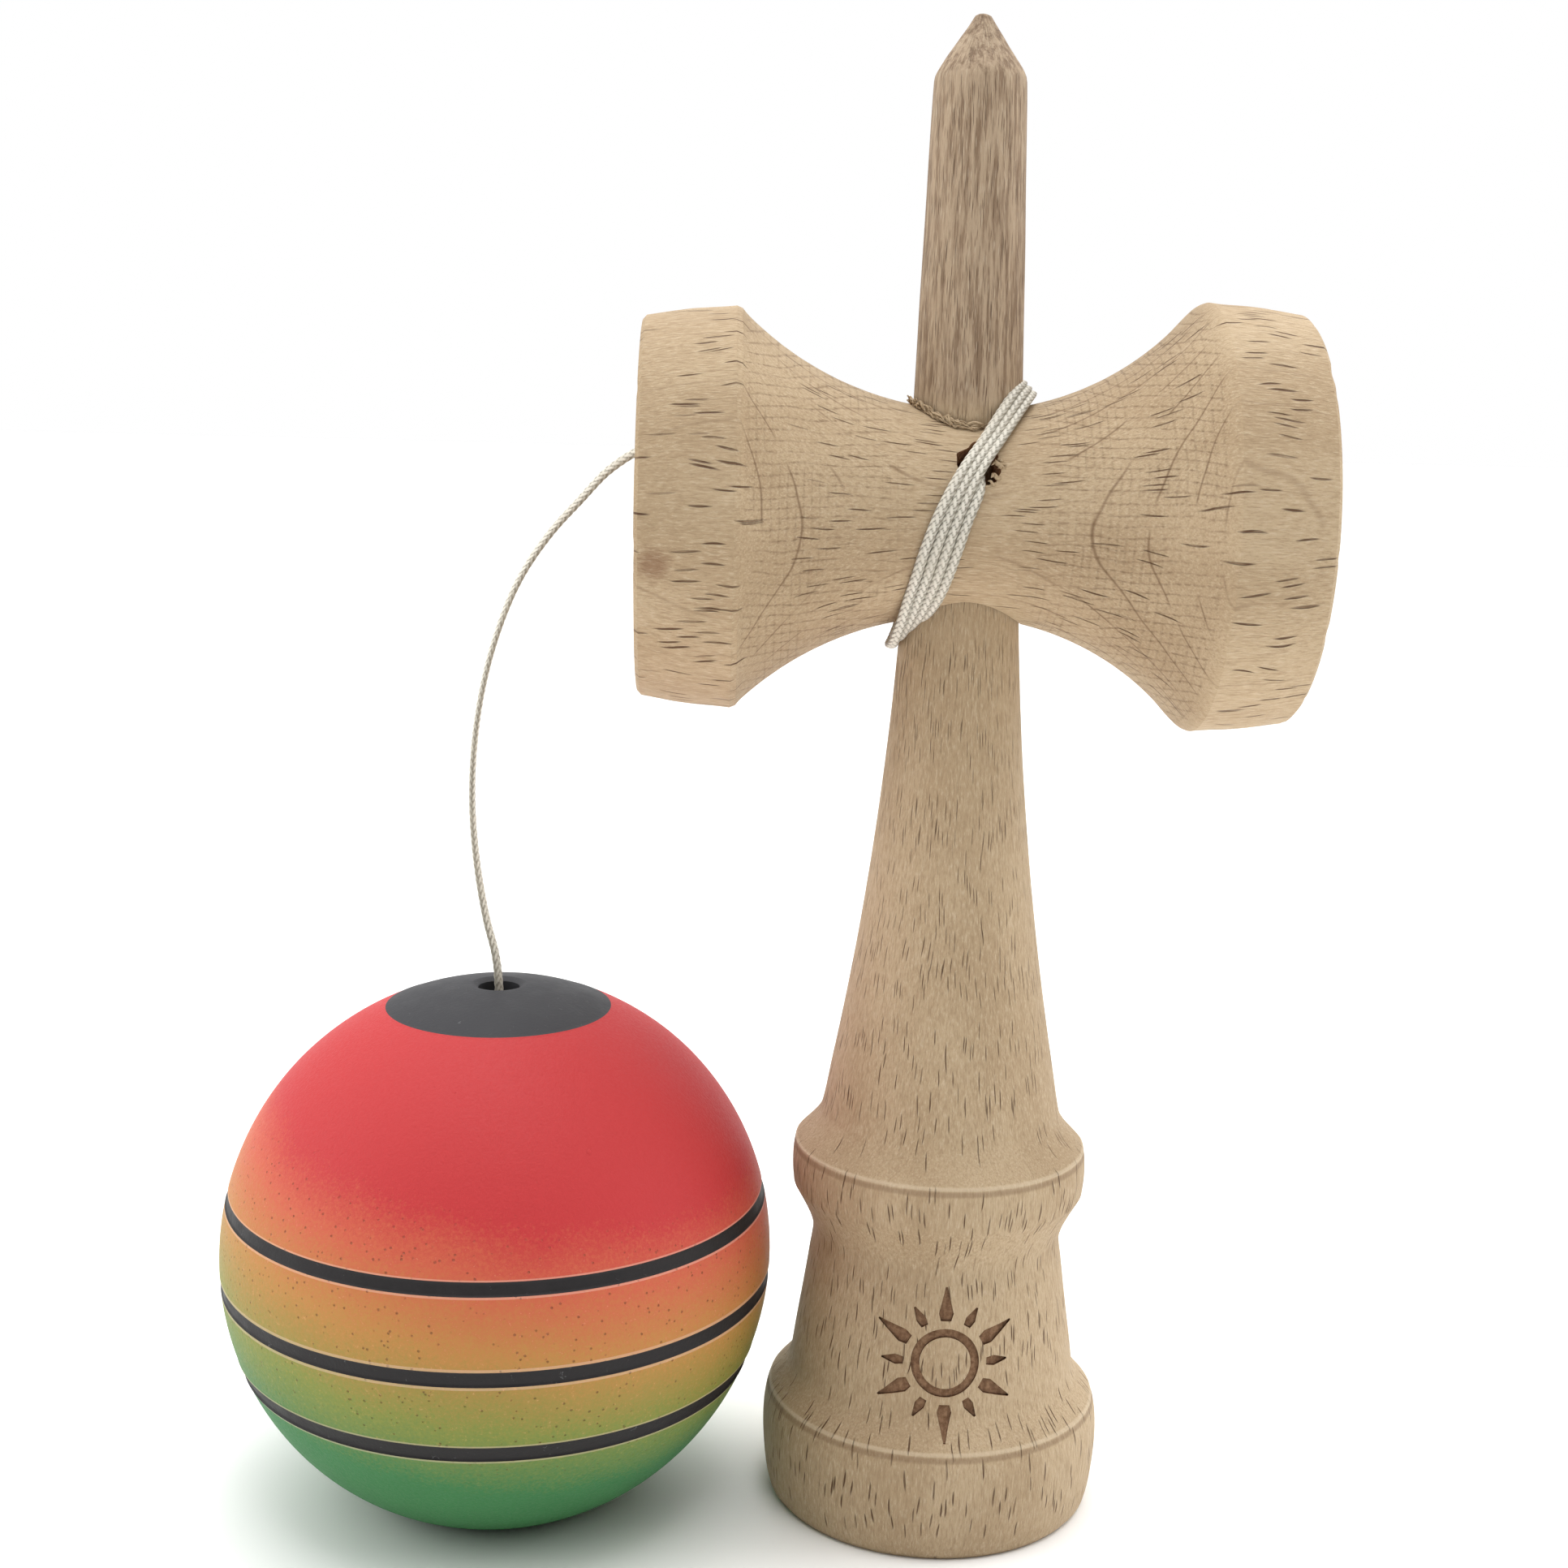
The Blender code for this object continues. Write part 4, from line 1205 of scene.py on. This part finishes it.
def make_fibres(wood):
    """Fibres torn up where the spike leaves the barrel, most of them at the front left."""
    random = np.random.default_rng(7)
    radius_at = barrel_radius()
    spike = 5.85 * MM
    parts = []
    for _ in range(TORN_FIBRES):
        turn = random.normal(-0.55, 0.95)
        run = random.uniform(0.5, 2.4) * MM
        rise = random.uniform(0.1, 0.9) * MM
        curl = random.uniform(-0.5, 1.2)
        points = []
        for share in np.linspace(0.0, 1.0, 5):
            at = turn + share * run / spike
            gap = spike + (0.08 + 0.5 * share * random.uniform(0.2, 1.0)) * MM
            x, y = gap * math.sin(at), -gap * math.cos(at)
            ground = math.sqrt(max(0.0, radius_at(x) ** 2 - y * y))
            lift = rise * math.sin(share * math.pi * (0.6 + 0.4 * curl)) + 0.02 * MM
            points.append((KEN_X + x, y, BARREL_Z + ground + max(0.0, lift)))
        parts.append(fibre_tube(points, random.uniform(0.05, 0.14) * MM))
    fibres = joined("torn_fibres", parts)
    fibres.data.materials.append(wood)
    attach(fibres, "handle")


SPLINTERS = 14


def make_splinters(wood):
    """Slivers left standing round the torn hole, thickest at its lower right."""
    random = np.random.default_rng(11)
    radius_at = barrel_radius()
    parts = []
    for _ in range(SPLINTERS):
        turn = random.normal(-0.6, 1.1)
        far = random.uniform(2.35, 2.75) * MM
        along = HOLE_ALONG + far * math.cos(turn)
        lift_angle = math.radians(HOLE_ELEVATION) + far * math.sin(turn) / (11.0 * MM)
        length = random.uniform(0.5, 1.3) * MM
        inward = -1.0 if math.cos(turn) > 0 else 1.0
        points = []
        for share in np.linspace(0.0, 1.0, 4):
            x = along + inward * length * share
            reach = radius_at(x) - (0.10 - 0.25 * share * random.uniform(0.2, 1.0)) * MM
            angle = lift_angle + share * random.uniform(-0.04, 0.04)
            points.append((KEN_X + x, -reach * math.cos(angle), BARREL_Z + reach * math.sin(angle)))
        parts.append(fibre_tube(points, random.uniform(0.14, 0.34) * MM, sides=4))
    splinters = joined("hole_splinters", parts)
    splinters.data.materials.append(wood)
    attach(splinters, "handle")


# ---------------------------------------------------------------- the scene
bpy.context.scene.view_settings.view_transform = "Standard"
make_camera()
cloth = braid_cloth("nylon_braid")
wound_piece, wound_line, free_piece, free_line = make_string(cloth)
knot_ken = make_knot("knot_in_ken", "knot_ken", "handle", cloth)
knot_bead = make_knot("knot_under_bead", "knot_bead", "swivel", cloth)
bead = make_bead(bead_plastic("bead_plastic"))
tuple(wound_line[0])
line_length(wound_line)
tuple(free_line[0])
line_length(free_line)

make_light()
make_floor()
ken_wood = beech("beech_ken", 2, 13.0, (0.50, 8.0, 0.32), spike_from=(BARREL_Z + 11.0 * MM) / MM,
                 creases=KEN_CREASES)
stain = Vector((KEN_X - 31.6 * MM, -19.3 * MM, BARREL_Z - 4.2 * MM)) / MM
barrel_wood = beech("beech_sarado", 0, 15.0, (0.70, 11.0, 0.40), flares=(6.0, 23.5), stain=tuple(stain))
bore_wood = beech("beech_bores", 2, 8.0, (0.52, 5.0, 0.40))
torn_wood = beech("beech_torn", 0, 12.0, (0.80, 8.0, 0.50))
make_ken(ken_wood, scorched("laser_scorch"))
make_barrel(barrel_wood, bore_wood, charred("drill_char"))
spray = rubber_spray("rubber_spray")
make_ball(
    spray,
    rubber_spray("rubber_spray_edge", lightened=0.28),
    rubber_plain("rubber_stripe", linear(36, 34, 35), linear(46, 43, 44)),
    rubber_plain("rubber_cap", linear(52, 52, 55), linear(62, 62, 65)),
    bore_wood,
)
make_pimples(spray)
make_fibres(torn_wood)
make_splinters(torn_wood)
